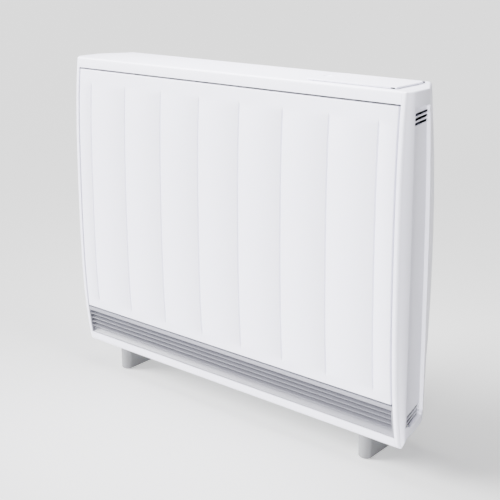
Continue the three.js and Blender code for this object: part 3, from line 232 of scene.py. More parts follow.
class Finish(Wiring):
    """A material that is laid out on the object's own coordinates, in metres."""

    def __init__(self, name, roughness=0.4, metallic=0.0, specular=0.5):
        self.material = bpy.data.materials.new(name)
        self.material.use_nodes = True
        super().__init__(self.material.node_tree)
        self.shader = self.tree.nodes["Principled BSDF"]
        self.set("Roughness", roughness)
        self.set("Metallic", metallic)
        self.set("Specular IOR Level", specular)
        self.place = self.node("ShaderNodeTexCoord").outputs["Object"]
        self.relief = None

    def set(self, socket, value):
        socket_or_value(self.tree, self.shader.inputs[socket], value)

    def stretched(self, scale):
        return self.node("ShaderNodeMapping", {"Vector": self.place, "Scale": scale}).outputs["Vector"]

    def noise(self, per_metre, detail=3.0, rough=0.5, stretch=None):
        place = self.stretched(stretch) if stretch else self.place
        inputs = {"Scale": per_metre, "Detail": detail, "Roughness": rough, "Vector": place}
        return self.node("ShaderNodeTexNoise", inputs).outputs[0]

    def cells(self, per_metre, output):
        inputs = {"Scale": per_metre, "Vector": self.place}
        return self.node("ShaderNodeTexVoronoi", inputs).outputs[output]

    def tint(self, base, share, strength, shade):
        """The base colour, shaded where the share is high."""
        darker = tuple(part * shade for part in base[:3]) + (1.0,)
        full = tuple(base[:3]) + (1.0,)
        return self.blend(self.math("MULTIPLY", share, strength), full, darker)

    def sheen(self, pattern, smoothest, roughest, low=0.3, high=0.7):
        """Lets the roughness follow a pattern that runs from low to high."""
        self.set("Roughness", self.ramp(pattern, low, high, smoothest, roughest))

    def bump(self, height, depth_mm, strength=0.5):
        """Adds relief on top of the relief that is there."""
        inputs = {"Strength": strength, "Distance": depth_mm * MM, "Height": height}
        if self.relief is not None:
            inputs["Normal"] = self.relief
        self.relief = self.node("ShaderNodeBump", inputs).outputs["Normal"]
        self.set("Normal", self.relief)


def powder_coat(name, base):
    """Sprayed and baked paint: orange peel, and a sheen that wanders a little."""
    coat = Finish(name, specular=0.45)
    coat.set("Base Color", coat.tint(base, coat.noise(14, 4), 0.16, 0.93))
    coat.sheen(coat.noise(120, 3), 0.36, 0.46)
    coat.bump(coat.noise(700, 2, 0.45), 0.05, 0.22)
    coat.bump(coat.noise(90, 2, 0.5), 0.12, 0.08)
    return coat.material


def moulding(name, base, grain=2600.0, smoothest=0.34, roughest=0.46, grain_depth=0.03):
    """Moulded plastic: fine spark grain, faint flow lines, and small scuffs in the sheen."""
    skin = Finish(name)
    flow = skin.noise(6, 5, 0.6, stretch=(1.0, 1.0, 5.0))
    skin.set("Base Color", skin.tint(base, flow, 0.2, 0.92))
    skin.sheen(skin.noise(240, 4, 0.65), smoothest, roughest, 0.35, 0.75)
    skin.bump(skin.noise(grain, 2, 0.5), grain_depth, 0.3)
    skin.bump(flow, 0.08, 0.06)
    return skin.material


def zinc_sheet(name, base):
    """Zinc-coated steel: spangle, rolling lines and dull patches."""
    sheet = Finish(name, metallic=0.92)
    spangle = sheet.node("ShaderNodeSeparateColor", {0: sheet.cells(130, "Color")})
    tone = sheet.math("MULTIPLY", spangle.outputs[0], 0.5)
    dull = sheet.noise(11, 5, 0.6)
    patches, dull_tone = sheet.ramp(dull, 0.45, 0.7, 0.0, 0.5), (0.32, 0.32, 0.31, 1)
    sheet.set("Base Color", sheet.blend(patches, sheet.tint(base, tone, 0.9, 0.7), dull_tone))
    sheet.sheen(sheet.math("ADD", tone, dull), 0.3, 0.58, 0.3, 1.0)
    sheet.bump(sheet.noise(60, 3, 0.5, stretch=(0.2, 1.0, 14.0)), 0.02, 0.2)
    return sheet.material


def mineral_board(name, base):
    """Pressed fibre board: matted fibres, crumbly faces and darker binder spots."""
    board = Finish(name, roughness=0.95, specular=0.15)
    fibre = board.noise(420, 6, 0.7, stretch=(1.0, 1.0, 5.0))
    spots = board.ramp(board.noise(60, 5, 0.6), 0.5, 0.75)
    matted, binder_tone = board.tint(base, fibre, 0.7, 0.7), (0.4, 0.33, 0.22, 1)
    board.set("Base Color", board.blend(board.math("MULTIPLY", spots, 0.5), matted, binder_tone))
    board.bump(fibre, 0.6, 0.6)
    board.bump(board.noise(45, 4, 0.6), 1.2, 0.3)
    return board.material


def fired_brick(name, base):
    """Dense fired brick: grit, rust-coloured grains and open pores."""
    brick = Finish(name, specular=0.3)
    grit = brick.cells(330, "Distance")
    rust = brick.ramp(brick.noise(180, 4, 0.65), 0.52, 0.7)
    body, rust_tone = brick.tint(base, brick.noise(40, 5, 0.6), 0.8, 0.55), (0.21, 0.075, 0.035, 1)
    brick.set("Base Color", brick.blend(brick.math("MULTIPLY", rust, 0.6), body, rust_tone))
    brick.sheen(grit, 0.75, 0.95, 0.0, 0.8)
    brick.bump(grit, 0.5, 0.45)
    brick.bump(brick.noise(75, 4, 0.6), 0.8, 0.3)
    return brick.material


def heated_sheath(name):
    """Element sheath: drawn steel with straw and blue heat colours along its length."""
    tube = Finish(name, metallic=0.95)
    band = tube.noise(16, 3, 0.5)
    plain, straw, blue = (0.33, 0.31, 0.29, 1), (0.36, 0.26, 0.15, 1), (0.17, 0.18, 0.27, 1)
    warmed = tube.blend(tube.ramp(band, 0.35, 0.6), plain, straw)
    tube.set("Base Color", tube.blend(tube.ramp(band, 0.6, 0.8), warmed, blue))
    tube.sheen(tube.noise(300, 3), 0.32, 0.5)
    tube.bump(tube.noise(500, 3, 0.5, stretch=(0.05, 1, 1)), 0.02, 0.3)
    return tube.material


def circuit_board(name):
    """Solder mask over copper: tracks show as raised, lighter lines."""
    board = Finish(name, specular=0.6)
    layout = {
        "Vector": board.stretched((60, 60, 60)),
        "Mortar Size": 0.05,
        "Color1": (0.012, 0.10, 0.045, 1),
        "Color2": (0.016, 0.13, 0.055, 1),
        "Mortar": (0.05, 0.24, 0.10, 1),
    }
    tracks = board.node("ShaderNodeTexBrick", layout)
    dust, dust_tone = board.ramp(board.noise(80, 5), 0.5, 0.8, 0.0, 0.3), (0.2, 0.22, 0.18, 1)
    board.set("Base Color", board.blend(dust, tracks.outputs["Color"], dust_tone))
    board.sheen(board.noise(200), 0.28, 0.5)
    board.bump(tracks.outputs["Fac"], 0.06, 0.4)
    return board.material


def bare_ceramic(name):
    """Steatite: matt off-white with fine speckle."""
    body = Finish(name, specular=0.4)
    speck = body.ramp(body.cells(900, "Distance"), 0.0, 0.25, 1.0, 0.0)
    clean, speck_tone = (0.72, 0.70, 0.64, 1), (0.42, 0.36, 0.28, 1)
    body.set("Base Color", body.blend(body.math("MULTIPLY", speck, 0.35), clean, speck_tone))
    body.sheen(body.noise(150), 0.4, 0.6)
    body.bump(body.noise(800, 3), 0.05, 0.3)
    return body.material


def display_glass(name):
    """Dark tinted window with a hard coat and a few wipe marks."""
    glass = Finish(name, specular=0.6)
    wipe = glass.noise(70, 5, 0.6, stretch=(1, 6, 1))
    clear, wiped = (0.010, 0.014, 0.018, 1), (0.05, 0.06, 0.07, 1)
    glass.set("Base Color", glass.blend(glass.ramp(wipe, 0.5, 0.8, 0, 0.25), clear, wiped))
    glass.sheen(wipe, 0.05, 0.22, 0.3, 0.8)
    glass.set("Coat Weight", 0.8)
    glass.set("Coat Roughness", 0.04)
    glass.bump(glass.noise(40, 2), 0.02, 0.05)
    return glass.material


def lit_segment(name):
    """Grey segments on the display window."""
    ink = Finish(name, roughness=0.3)
    pale, faded = (0.55, 0.62, 0.60, 1), (0.35, 0.42, 0.40, 1)
    ink.set("Base Color", ink.blend(ink.ramp(ink.noise(400), 0.4, 0.7, 0, 0.3), pale, faded))
    ink.bump(ink.noise(900), 0.01, 0.2)
    return ink.material


def steel_screw(name):
    """Bright plated screw steel with turning marks."""
    steel = Finish(name, metallic=1.0)
    marks = steel.noise(2500, 2, 0.5)
    steel.set("Base Color", steel.tint((0.62, 0.62, 0.60), marks, 0.6, 0.7))
    steel.sheen(steel.noise(300), 0.22, 0.42)
    steel.bump(marks, 0.02, 0.3)
    return steel.material


# Each finish's maker, the colour that it takes from the sidebar, and its grain.
MAKERS = {
    "white_paint": (powder_coat, "white"),
    "white_moulding": (moulding, "white"),
    # The slats' finish takes the darkened slat colour, which is painted shade for the gaps between the slats.
    "slat_grey": (moulding, "slat", 2200, 0.38, 0.5),
    "frame_grey": (moulding, "frame", 2200, 0.38, 0.5),
    "foot_grey": (moulding, "foot", 1400, 0.5, 0.65, 0.06),
    "dark_moulding": (moulding, "dark", 1500, 0.4, 0.6, 0.05),
    "button_grey": (moulding, "button", 3000, 0.35, 0.5),
    "zinc_steel": (zinc_sheet, "zinc"),
    "mineral_board": (mineral_board, "board"),
    "iron_brick": (fired_brick, "brick"),
    "element_sheath": (heated_sheath, None),
    "board_green": (circuit_board, None),
    "ceramic_white": (bare_ceramic, None),
    "display_glass": (display_glass, None),
    "lit_segment": (lit_segment, None),
    "steel_screw": (steel_screw, None),
}
FINISHES = {}


def finishes():
    """Makes each finish once, from the colours that the sidebar shows."""
    if not FINISHES:
        for name, (maker, shade, *grain) in MAKERS.items():
            base = [getattr(colours(), shade)] if shade else []
            FINISHES[name] = maker(name, *base, *grain)
    return FINISHES


# ---------------------------------------------------------------- meshes


def link(name, mesh):
    piece = bpy.data.objects.new(name, mesh)
    bpy.context.scene.collection.objects.link(piece)
    return piece


def mesh_piece(name, points, faces):
    """A closed mesh with its faces turned outwards."""
    mesh = bpy.data.meshes.new(name)
    mesh.from_pydata([tuple(point) for point in points], [], faces)
    work = bmesh.new()
    work.from_mesh(mesh)
    bmesh.ops.remove_doubles(work, verts=work.verts, dist=1e-7)
    bmesh.ops.recalc_face_normals(work, faces=work.faces)
    work.to_mesh(mesh)
    work.free()
    return link(name, mesh)


def loft_piece(name, levels):
    """A body through stacked outlines. Each level is (z, [(x, y), ...]), all with as many points."""
    count = len(levels[0][1])
    points = [(x, y, z) for z, outline in levels for x, y in outline]
    faces = [tuple(range(count))[::-1], tuple(range(len(points) - count, len(points)))]
    for level in range(len(levels) - 1):
        for k in range(count):
            a = level * count + k
            b = level * count + (k + 1) % count
            faces.append((a, b, b + count, a + count))
    return mesh_piece(name, points, faces)


def section_piece(name, outline, x0, x1):
    """An outline of (y, z) points, pulled along X."""
    count = len(outline)
    points = [(x, y, z) for x in (x0, x1) for y, z in outline]
    faces = [tuple(range(count)), tuple(range(count, 2 * count))[::-1]]
    faces += [(k, (k + 1) % count, count + (k + 1) % count, count + k) for k in range(count)]
    return mesh_piece(name, points, faces)


def block_piece(name, low, high):
    outline = [(low[1], low[2]), (high[1], low[2]), (high[1], high[2]), (low[1], high[2])]
    return section_piece(name, outline, low[0], high[0])


def turned_piece(name, profile, sides=40):
    """A profile of (radius, z) points, turned round Z. It starts and ends on the axis."""
    points = []
    for radius, z in profile[1:-1]:
        for k in range(sides):
            turn = 2 * math.pi * k / sides
            points.append((radius * math.cos(turn), radius * math.sin(turn), z))
    rings = len(profile) - 2
    foot, head = len(points), len(points) + 1
    points += [(0, 0, profile[0][1]), (0, 0, profile[-1][1])]
    faces = []
    for k in range(sides):
        after = (k + 1) % sides
        faces.append((foot, after, k))
        faces.append((head, (rings - 1) * sides + k, (rings - 1) * sides + after))
        for ring in range(rings - 1):
            a, b = ring * sides + k, ring * sides + after
            faces.append((a, b, b + sides, a + sides))
    return mesh_piece(name, points, faces)


def bake(piece):
    """Writes the modifiers' result into the piece's own mesh."""
    graph = bpy.context.evaluated_depsgraph_get()
    result = bpy.data.meshes.new_from_object(piece.evaluated_get(graph), depsgraph=graph)
    piece.modifiers.clear()
    piece.data = result
    return piece


def carve(piece, *tools, operation="DIFFERENCE"):
    """Cuts the tools out of the piece, joins them to it, or keeps what they share."""
    for tool in tools:
        step = piece.modifiers.new("carve", "BOOLEAN")
        step.operation = operation
        step.solver = "EXACT"
        step.object = tool
        bake(piece)
        bpy.data.objects.remove(tool)
    if not piece.data.polygons:
        raise RuntimeError(f"nothing is left of {piece.name}")
    return piece


def mirrored_copy(piece, name):
    """The same piece for the other end."""
    mesh = piece.data.copy()
    mesh.transform(Matrix.Scale(-1, 4, Vector((1, 0, 0))))
    mesh.flip_normals()
    return link(name, mesh)


def smooth(piece, angle=32):
    mesh = piece.data
    mesh.polygons.foreach_set("use_smooth", [True] * len(mesh.polygons))
    mesh.set_sharp_from_angle(angle=math.radians(angle))
    return piece


def soften(piece, width_mm, segments=2):
    """Rounds the hard edges of a piece that is otherwise finished."""
    smooth(piece)
    step = piece.modifiers.new("soft edges", "BEVEL")
    step.width = width_mm * MM
    step.segments = segments
    step.limit_method = "ANGLE"
    step.angle_limit = math.radians(HARD_EDGE)
    step.use_clamp_overlap = False
    step.harden_normals = True
    return piece


def dress(piece, finish, body=HOUSING, nodes=()):
    """Gives a finished piece its material and its place in the frame."""
    piece.data.materials.clear()
    piece.data.materials.append(finishes()[finish])
    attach(piece, body)
    if nodes:
        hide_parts(*nodes)
    return piece


def arc(a, b, radius, start, end, steps):
    """Points on a circle round (a, b), from one angle to another, in degrees."""
    turns = [math.radians(start + (end - start) * k / steps) for k in range(steps + 1)]
    return [(a + radius * math.cos(turn), b + radius * math.sin(turn)) for turn in turns]


def spread(low, high, steps):
    return [low + (high - low) * k / steps for k in range(steps + 1)]


def quarter_ease(steps):
    """Shares from nothing to one, as the heights of points round a quarter circle."""
    return [1 - math.cos(math.radians(90 / steps * k)) for k in range(steps + 1)]


def tilted(outline, tilt):
    """An outline turned by an angle in radians."""
    c, s = math.cos(tilt), math.sin(tilt)
    return [(u * c - v * s, u * s + v * c) for u, v in outline]


# ---------------------------------------------------------------- casing form


CAP_LOW, CAP_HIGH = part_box("right_end_cap")
PANEL_LOW, PANEL_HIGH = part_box("front_panel")
COVER_LOW, COVER_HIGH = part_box("top_cover")
GRILLE_LOW, GRILLE_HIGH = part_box("grille_frame")
RAIL_LOW, RAIL_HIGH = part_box("bottom_rail")
LID_LOW, LID_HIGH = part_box("control_lid")
FRONT = CAD_BOX[0][1]
REAR = COVER_HIGH[1]
CASING_TOP = COVER_HIGH[2]
CASING_BOTTOM = CAP_LOW[2]
SIDE = CAP_HIGH[0]


def bow_share(z):
    """One at the casing's top, nothing at its middle, and less than nothing below."""
    reach = casing().bow_reach
    return (z - CASING_TOP + reach) / reach


def setback(z):
    """How far the bow takes the front back at height z."""
    form, share = casing(), bow_share(z)
    return form.bow_square * share**2 + form.bow_fourth * share**4


def edge_fall(distance, radius):
    """How far a round edge falls away at a distance from its outer face."""
    inside = min(radius, max(0.0, radius - distance))
    return radius - math.sqrt(radius**2 - inside**2)


def front_at(z):
    form = casing()
    fall = edge_fall(CASING_TOP - z, form.top_round) + edge_fall(z - CASING_BOTTOM, form.bottom_round)
    return FRONT + setback(z) + fall


def casing_levels(low, high):
    """Heights of the stacked outlines, close together where the edges are round."""
    form, ease = casing(), quarter_ease(6)
    top = [CASING_TOP - share * form.top_round for share in ease]
    bottom = [CASING_BOTTOM + share * form.bottom_round for share in ease]
    middle = spread(CASING_BOTTOM + form.bottom_round, CASING_TOP - form.top_round, CASING_STEPS)
    heights = [*top, *bottom, *middle, low, high]
    return sorted({round(z, 6) for z in heights if low - 1e-7 <= z <= high + 1e-7})


def head_share(z):
    """Nothing up to the casing's middle, then growing to one at its top."""
    return max(0.0, bow_share(z)) ** 2


def rear_corner_x(z):
    form = casing()
    swell = form.rear_band_bow * (1 - bow_share(z) ** 2)
    return SIDE - form.rear_band + swell - form.rear_corner_head * head_share(z)


def band_start_y(z):
    form = casing()
    return FRONT + form.recess_rear - form.rear_band_head * head_share(z)


def cap_outline(z, inset):
    """The right cap's outline at height z, drawn in by inset."""
    form = casing()
    edge_radius, least_flank, band_swell = 3 * MM, 3 * MM, 6 * MM
    fall = edge_fall(CASING_TOP - z, edge_radius) + edge_fall(z - CASING_BOTTOM, edge_radius)
    side = SIDE - SKIN - fall - inset
    rear = REAR - edge_fall(CASING_TOP - z, form.top_round) - inset
    corner_x = SIDE - fall - form.cap_flare - form.cap_corner
    corner = arc(corner_x, front_at(z) + form.cap_corner, form.cap_corner - inset, -90, -12, 10)
    flank_x, flank_y = corner[-1]
    flank_rear = max(FRONT + form.recess_front, flank_y + least_flank)
    flank = [
        (side - (side - flank_x) * (1 - t) ** 2, flank_y + (flank_rear - flank_y) * t)
        for t in spread(0, 1, 10)[1:-1]
    ]
    inner = SIDE - form.cap_return - (form.cap_wall if inset > 0 else 0)
    seam = SIDE - form.cap_width + inset
    shelf = FRONT + setback(z) + form.shelf_depth + inset
    band_x = rear_corner_x(z) - fall - inset
    band_y = rear - form.rear_corner
    band_start = band_start_y(z)
    swell = band_swell * (1 - head_share(z))
    band = [
        (side + (band_x - side) * t + swell * t * (1 - t), band_start + (band_y - band_start) * t)
        for t in spread(0, 1, 8)[1:-1]
    ]
    turn = arc(band_x - form.rear_corner, band_y, form.rear_corner, 0, 90, 4)
    return [
        (seam, front_at(z) + inset),
        *corner,
        *flank,
        (side, flank_rear),
        (side, band_start),
        *band,
        *turn,
        (inner, rear),
        (inner, shelf),
        (seam, shelf),
    ]


def recess_tool(grow):
    """What the side recess takes away, grown outwards."""
    form = casing()
    floor = SIDE - form.recess_depth - grow
    beyond = SIDE + form.recess_depth * 2
    start = FRONT + form.recess_front
    end = FRONT + form.recess_rear
    # The floor sinks a little towards the rear, and both walls lean outwards, the rear one most.
    floor_front, floor_rear = floor + 0.5 * MM, floor - 2 * MM
    wall_foot, wall_lean, rear_foot, rear_lean = 1.2 * MM, 1 * MM, 1.5 * MM, 12 * MM
    levels = []
    for z in spread(CASING_BOTTOM, CASING_TOP + grow, 14):
        back = band_start_y(z) + grow
        front = [(floor_front, start + wall_foot - grow), (beyond, start - wall_lean - grow)]
        levels.append((z, [*front, (beyond, back + rear_lean), (floor_rear, back - rear_foot)]))
    head = CASING_TOP - form.recess_head + grow
    foot = CASING_BOTTOM + form.recess_foot - grow
    near = start - 8 * MM - grow
    far = end + 16 * MM + grow
    level_run, far_rise = 14 * MM, 1.5
    span = form.recess_rear - form.recess_front - 10 * MM
    swept = [(start + level_run + span * t, foot + form.recess_sweep * t**2) for t in spread(0, 1, 20)]
    side = [(near, foot), *swept, (far, foot + form.recess_sweep * far_rise), (far, head), (near, head)]
    room = loft_piece("recess", levels)
    return carve(room, section_piece("recess side", side, floor - 5 * MM, beyond + MM), operation="INTERSECT")


def sloped_tool(near, far, under, start, inset):
    """What lies behind start and outside the plane through three points, moved inwards by inset."""
    out = (far - near).normalized().cross(under - near).normalized()
    if out.x < 0:
        out.negate()
    size, head_gain = 0.26, 0.4
    tool = block_piece("sloped cut", (-size / 2,) * 3, (size / 2,) * 3)
    turn = Vector((1, 0, 0)).rotation_difference(out).to_matrix().to_4x4()
    tool.data.transform(Matrix.Translation(near + out * (size / 2 - inset)) @ turn)
    low = (0, start - inset, -size)
    high = (SIDE + size, REAR + size, far.z + inset * head_gain)
    return carve(tool, block_piece("sloped cut room", low, high), operation="INTERSECT")


def lower_cut_tool(inset):
    """The sloped cut under the recess's swept foot."""
    form = casing()
    below, behind, past, slant = 7 * MM, 7 * MM, 5 * MM, 3 * MM
    foot = CASING_BOTTOM + form.recess_foot - below
    start = FRONT + form.recess_front + behind
    rear = FRONT + form.recess_rear + past
    near = Vector((SIDE, start, foot))
    far = Vector((SIDE, rear, foot + form.recess_sweep))
    under = Vector((SIDE - form.lower_cut, rear + slant, CASING_BOTTOM))
    return sloped_tool(near, far, under, start, inset)


def heel_tool(inset):
    """The slope of the flank's lower edge, up towards the rear."""
    form = casing()
    behind, past, slant, run_in = 15 * MM, 4 * MM, 4 * MM, 8 * MM
    start = FRONT + behind
    rear = FRONT + form.recess_rear + past
    near = Vector((SIDE, start, CASING_BOTTOM + form.heel_front))
    far = Vector((SIDE, rear, CASING_BOTTOM + form.heel_rear))
    under = Vector((SIDE - form.lower_cut, rear + slant, CASING_BOTTOM))
    return sloped_tool(near, far, under, start - run_in, inset)


def round_slot(long, high, tilt):
    """A slot's outline with round ends."""
    half = long / 2 - high / 2
    ends = arc(half, 0, high / 2, -90, 90, 10) + arc(-half, 0, high / 2, 90, 270, 10)
    return tilted(ends, tilt)


# ---------------------------------------------------------------- geometry trees


def new_tree(name, sockets):
    """A geometry tree with inputs named by kind. Returns its wiring, and its input and output nodes."""
    tree = bpy.data.node_groups.new(name, "GeometryNodeTree")
    for way in ("OUTPUT", "INPUT"):
        tree.interface.new_socket("Geometry", in_out=way, socket_type="NodeSocketGeometry")
    for kind, labels in sockets.items():
        for label in labels:
            tree.interface.new_socket(label, in_out="INPUT", socket_type=f"NodeSocket{kind}")
    wiring = Wiring(tree)
    return wiring, wiring.node("NodeGroupInput").outputs, wiring.node("NodeGroupOutput")


def set_on(wiring, points, shape, **inputs):
    """Sets an object on every point."""
    source = wiring.node("GeometryNodeObjectInfo", {"Object": shape})
    inputs.update(Points=points, Instance=source.outputs["Geometry"])
    return wiring.node("GeometryNodeInstanceOnPoints", inputs).outputs["Instances"]


def close_tree(wiring, geometry, finish, output):
    """Makes the geometry real, gives it its finish and sends it out."""
    realize = wiring.node("GeometryNodeRealizeInstances", {"Geometry": geometry})
    inputs = {"Geometry": realize.outputs["Geometry"], "Material": finish}
    paint = wiring.node("GeometryNodeSetMaterial", inputs)
    wiring.tree.links.new(paint.outputs["Geometry"], output.inputs["Geometry"])
    return wiring.tree


def run_tree(piece, tree, **values):
    """Runs a tree on a piece, its inputs set by name, and keeps the result as a plain mesh."""
    step = piece.modifiers.new(tree.name, "NODES")
    step.node_group = tree
    for item in tree.interface.items_tree:
        key = item.name.lower().replace(" ", "_")
        if item.item_type == "SOCKET" and item.in_out == "INPUT" and key in values:
            step[item.identifier] = values[key]
    return bake(piece)


def groove_tree():
    """Presses a row of upright grooves, with faded ends, into a sheet that faces -Y."""
    lengths = ["Pitch", "Depth", "Half Width", "Low", "High", "Fade"]
    sockets = {"Int": ["Count"], "Float": lengths, "Material": ["Finish"]}
    w, given, output = new_tree("press grooves", sockets)
    where = w.node("ShaderNodeSeparateXYZ", {0: w.node("GeometryNodeInputPosition").outputs[0]}).outputs
    last = w.math("SUBTRACT", given["Count"], 1)
    along = w.math("ADD", w.math("DIVIDE", where["X"], given["Pitch"]), w.math("MULTIPLY", last, 0.5))
    nearest = w.math("MAXIMUM", w.math("MINIMUM", w.math("ROUND", along), last), 0)
    away = w.math("MULTIPLY", w.math("ABSOLUTE", w.math("SUBTRACT", along, nearest)), given["Pitch"])
    press = w.ramp(away, 0.0, given["Half Width"], 1.0, 0.0, smooth=True)
    low_end = w.math("ADD", given["Low"], given["Fade"])
    high_end = w.math("SUBTRACT", given["High"], given["Fade"])
    foot = w.ramp(where["Z"], given["Low"], low_end, smooth=True)
    head = w.ramp(where["Z"], given["High"], high_end, smooth=True)
    depth = w.math("MULTIPLY", w.math("MULTIPLY", press, given["Depth"]), w.math("MULTIPLY", foot, head))
    push = w.node("ShaderNodeCombineXYZ", {"Y": depth})
    inputs = {"Geometry": given["Geometry"], "Offset": push.outputs[0]}
    move = w.node("GeometryNodeSetPosition", inputs)
    return close_tree(w, move.outputs["Geometry"], given["Finish"], output)


def louvre_tree():
    """Hangs slats one under the other along the bowed front."""
    lengths = ["First Height", "Pitch", "Front", "Bow Top", "Bow Reach", "Bow Square", "Bow Fourth"]
    sockets = {"Object": ["Slat"], "Int": ["Count"], "Float": lengths, "Material": ["Finish"]}
    w, given, output = new_tree("louvre", sockets)
    order = w.node("GeometryNodeInputIndex").outputs[0]
    height = w.math("SUBTRACT", given["First Height"], w.math("MULTIPLY", order, given["Pitch"]))
    above = w.math("ADD", w.math("SUBTRACT", height, given["Bow Top"]), given["Bow Reach"])
    share = w.math("DIVIDE", above, given["Bow Reach"])
    square = w.math("MULTIPLY", share, share)
    fourth = w.math("MULTIPLY", square, square)
    square_fall = w.math("MULTIPLY", square, given["Bow Square"])
    fall = w.math("ADD", square_fall, w.math("MULTIPLY", fourth, given["Bow Fourth"]))
    place = w.node("ShaderNodeCombineXYZ", {"Y": w.math("ADD", given["Front"], fall), "Z": height})
    line = w.node("GeometryNodeMeshLine", {"Count": given["Count"]})
    inputs = {"Geometry": line.outputs["Mesh"], "Position": place.outputs[0]}
    move = w.node("GeometryNodeSetPosition", inputs)
    hung = set_on(w, move.outputs["Geometry"], given["Slat"])
    return close_tree(w, hung, given["Finish"], output)


def row_tree():
    """Repeats a shape in a straight row."""
    sockets = {"Object": ["Shape"], "Int": ["Count"], "Vector": ["Start", "Step"], "Material": ["Finish"]}
    w, given, output = new_tree("row", sockets)
    inputs = {"Count": given["Count"], "Start Location": given["Start"], "Offset": given["Step"]}
    line = w.node("GeometryNodeMeshLine", inputs, mode="OFFSET")
    return close_tree(w, set_on(w, line.outputs["Mesh"], given["Shape"]), given["Finish"], output)


def fastener_tree():
    """Sets a fastener on every point, turned to the point's facing and to its own chance angle."""
    sockets = {"Object": ["Fastener"], "Int": ["Seed"], "Material": ["Finish"]}
    w, given, output = new_tree("fasteners", sockets)
    facing = w.node("GeometryNodeInputNamedAttribute", {"Name": "facing"}, data_type="FLOAT_VECTOR")
    align = w.node("FunctionNodeAlignRotationToVector", {"Vector": facing.outputs["Attribute"]}, axis="Z")
    # Input 3 is the largest number that chance can give, and output 1 is the number.
    chance = w.node("FunctionNodeRandomValue", {3: math.pi, "Seed": given["Seed"]}, data_type="FLOAT")
    spin = w.node("FunctionNodeAxisAngleToRotation", {"Angle": chance.outputs[1]})
    inputs = {0: align.outputs[0], 1: spin.outputs[0]}
    turn = w.node("FunctionNodeRotateRotation", inputs, rotation_space="LOCAL")
    heads = set_on(w, given["Geometry"], given["Fastener"], Rotation=turn.outputs[0])
    return close_tree(w, heads, given["Finish"], output)


def points_piece(name, spots):
    """Bare points, each with the way it faces."""
    mesh = bpy.data.meshes.new(name)
    mesh.from_pydata([spot for spot, _ in spots], [], [])
    facing = mesh.attributes.new("facing", "FLOAT_VECTOR", "POINT")
    for k, (_, way) in enumerate(spots):
        facing.data[k].vector = way
    return link(name, mesh)


# ---------------------------------------------------------------- pieces


class HEATER_OT_front_panel(bpy.types.Operator):
    """Bowed front sheet with pressed grooves and turned-back edges"""

    bl_idname = "heater.front_panel"
    bl_label = "Front panel"

    def execute(self, context):
        form, rows = casing(), repeats()
        side_gap, head_gap, shelf_gap, flange = 0.8 * MM, 0.6 * MM, 0.6 * MM, 10 * MM
        half, low, high = PANEL_HIGH[0] - side_gap, PANEL_LOW[2], PANEL_HIGH[2] - head_gap
        edge, sheet = 1.6 * MM, 1.0 * MM
        angles = [math.radians(a) for a in (0, 30, 60, 90)]
        turn = [(edge - edge * math.cos(a), edge - edge * math.sin(a)) for a in angles]
        left = [(-half, form.shelf_depth - shelf_gap)] + [(-half + out, back) for out, back in turn]
        first = -(rows.groove_count - 1) * rows.groove_pitch / 2
        lines = left + [
            (first + k * rows.groove_pitch + share * rows.groove_half, 0.0)
            for k in range(rows.groove_count)
            for share in GROOVE_LINES
        ]
        lines += [(-x, back) for x, back in reversed(left)]
        heights = [(low, flange)] + [(low + out, back) for out, back in turn]
        heights += [(z, 0.0) for z in spread(low + edge * 2, high - edge * 2, 150)]
        heights += [(high - out, back) for out, back in reversed(turn)] + [(high, flange)]
        wide = len(lines)
        points = [(x, front_at(z) + max(back, lift), z) for z, lift in heights for x, back in lines]
        faces = [
            (r * wide + k, r * wide + k + 1, (r + 1) * wide + k + 1, (r + 1) * wide + k)
            for r in range(len(heights) - 1)
            for k in range(wide - 1)
        ]
        mesh = bpy.data.meshes.new("front_panel_sheet")
        mesh.from_pydata(points, [], faces)
        piece = link("front_panel_sheet", mesh)
        run_tree(
            piece,
            groove_tree(),
            count=rows.groove_count,
            pitch=rows.groove_pitch,
            depth=rows.groove_depth,
            half_width=rows.groove_half,
            low=low + rows.groove_bottom,
            high=high - rows.groove_top,
            fade=rows.groove_fade,
            finish=finishes()["white_paint"],
        )
        shell = piece.modifiers.new("sheet", "SOLIDIFY")
        shell.thickness = sheet
        shell.offset = -1
        bake(piece)
        smooth(piece, 50)
        dress(piece, "white_paint", nodes=("front_panel",))
        return {"FINISHED"}


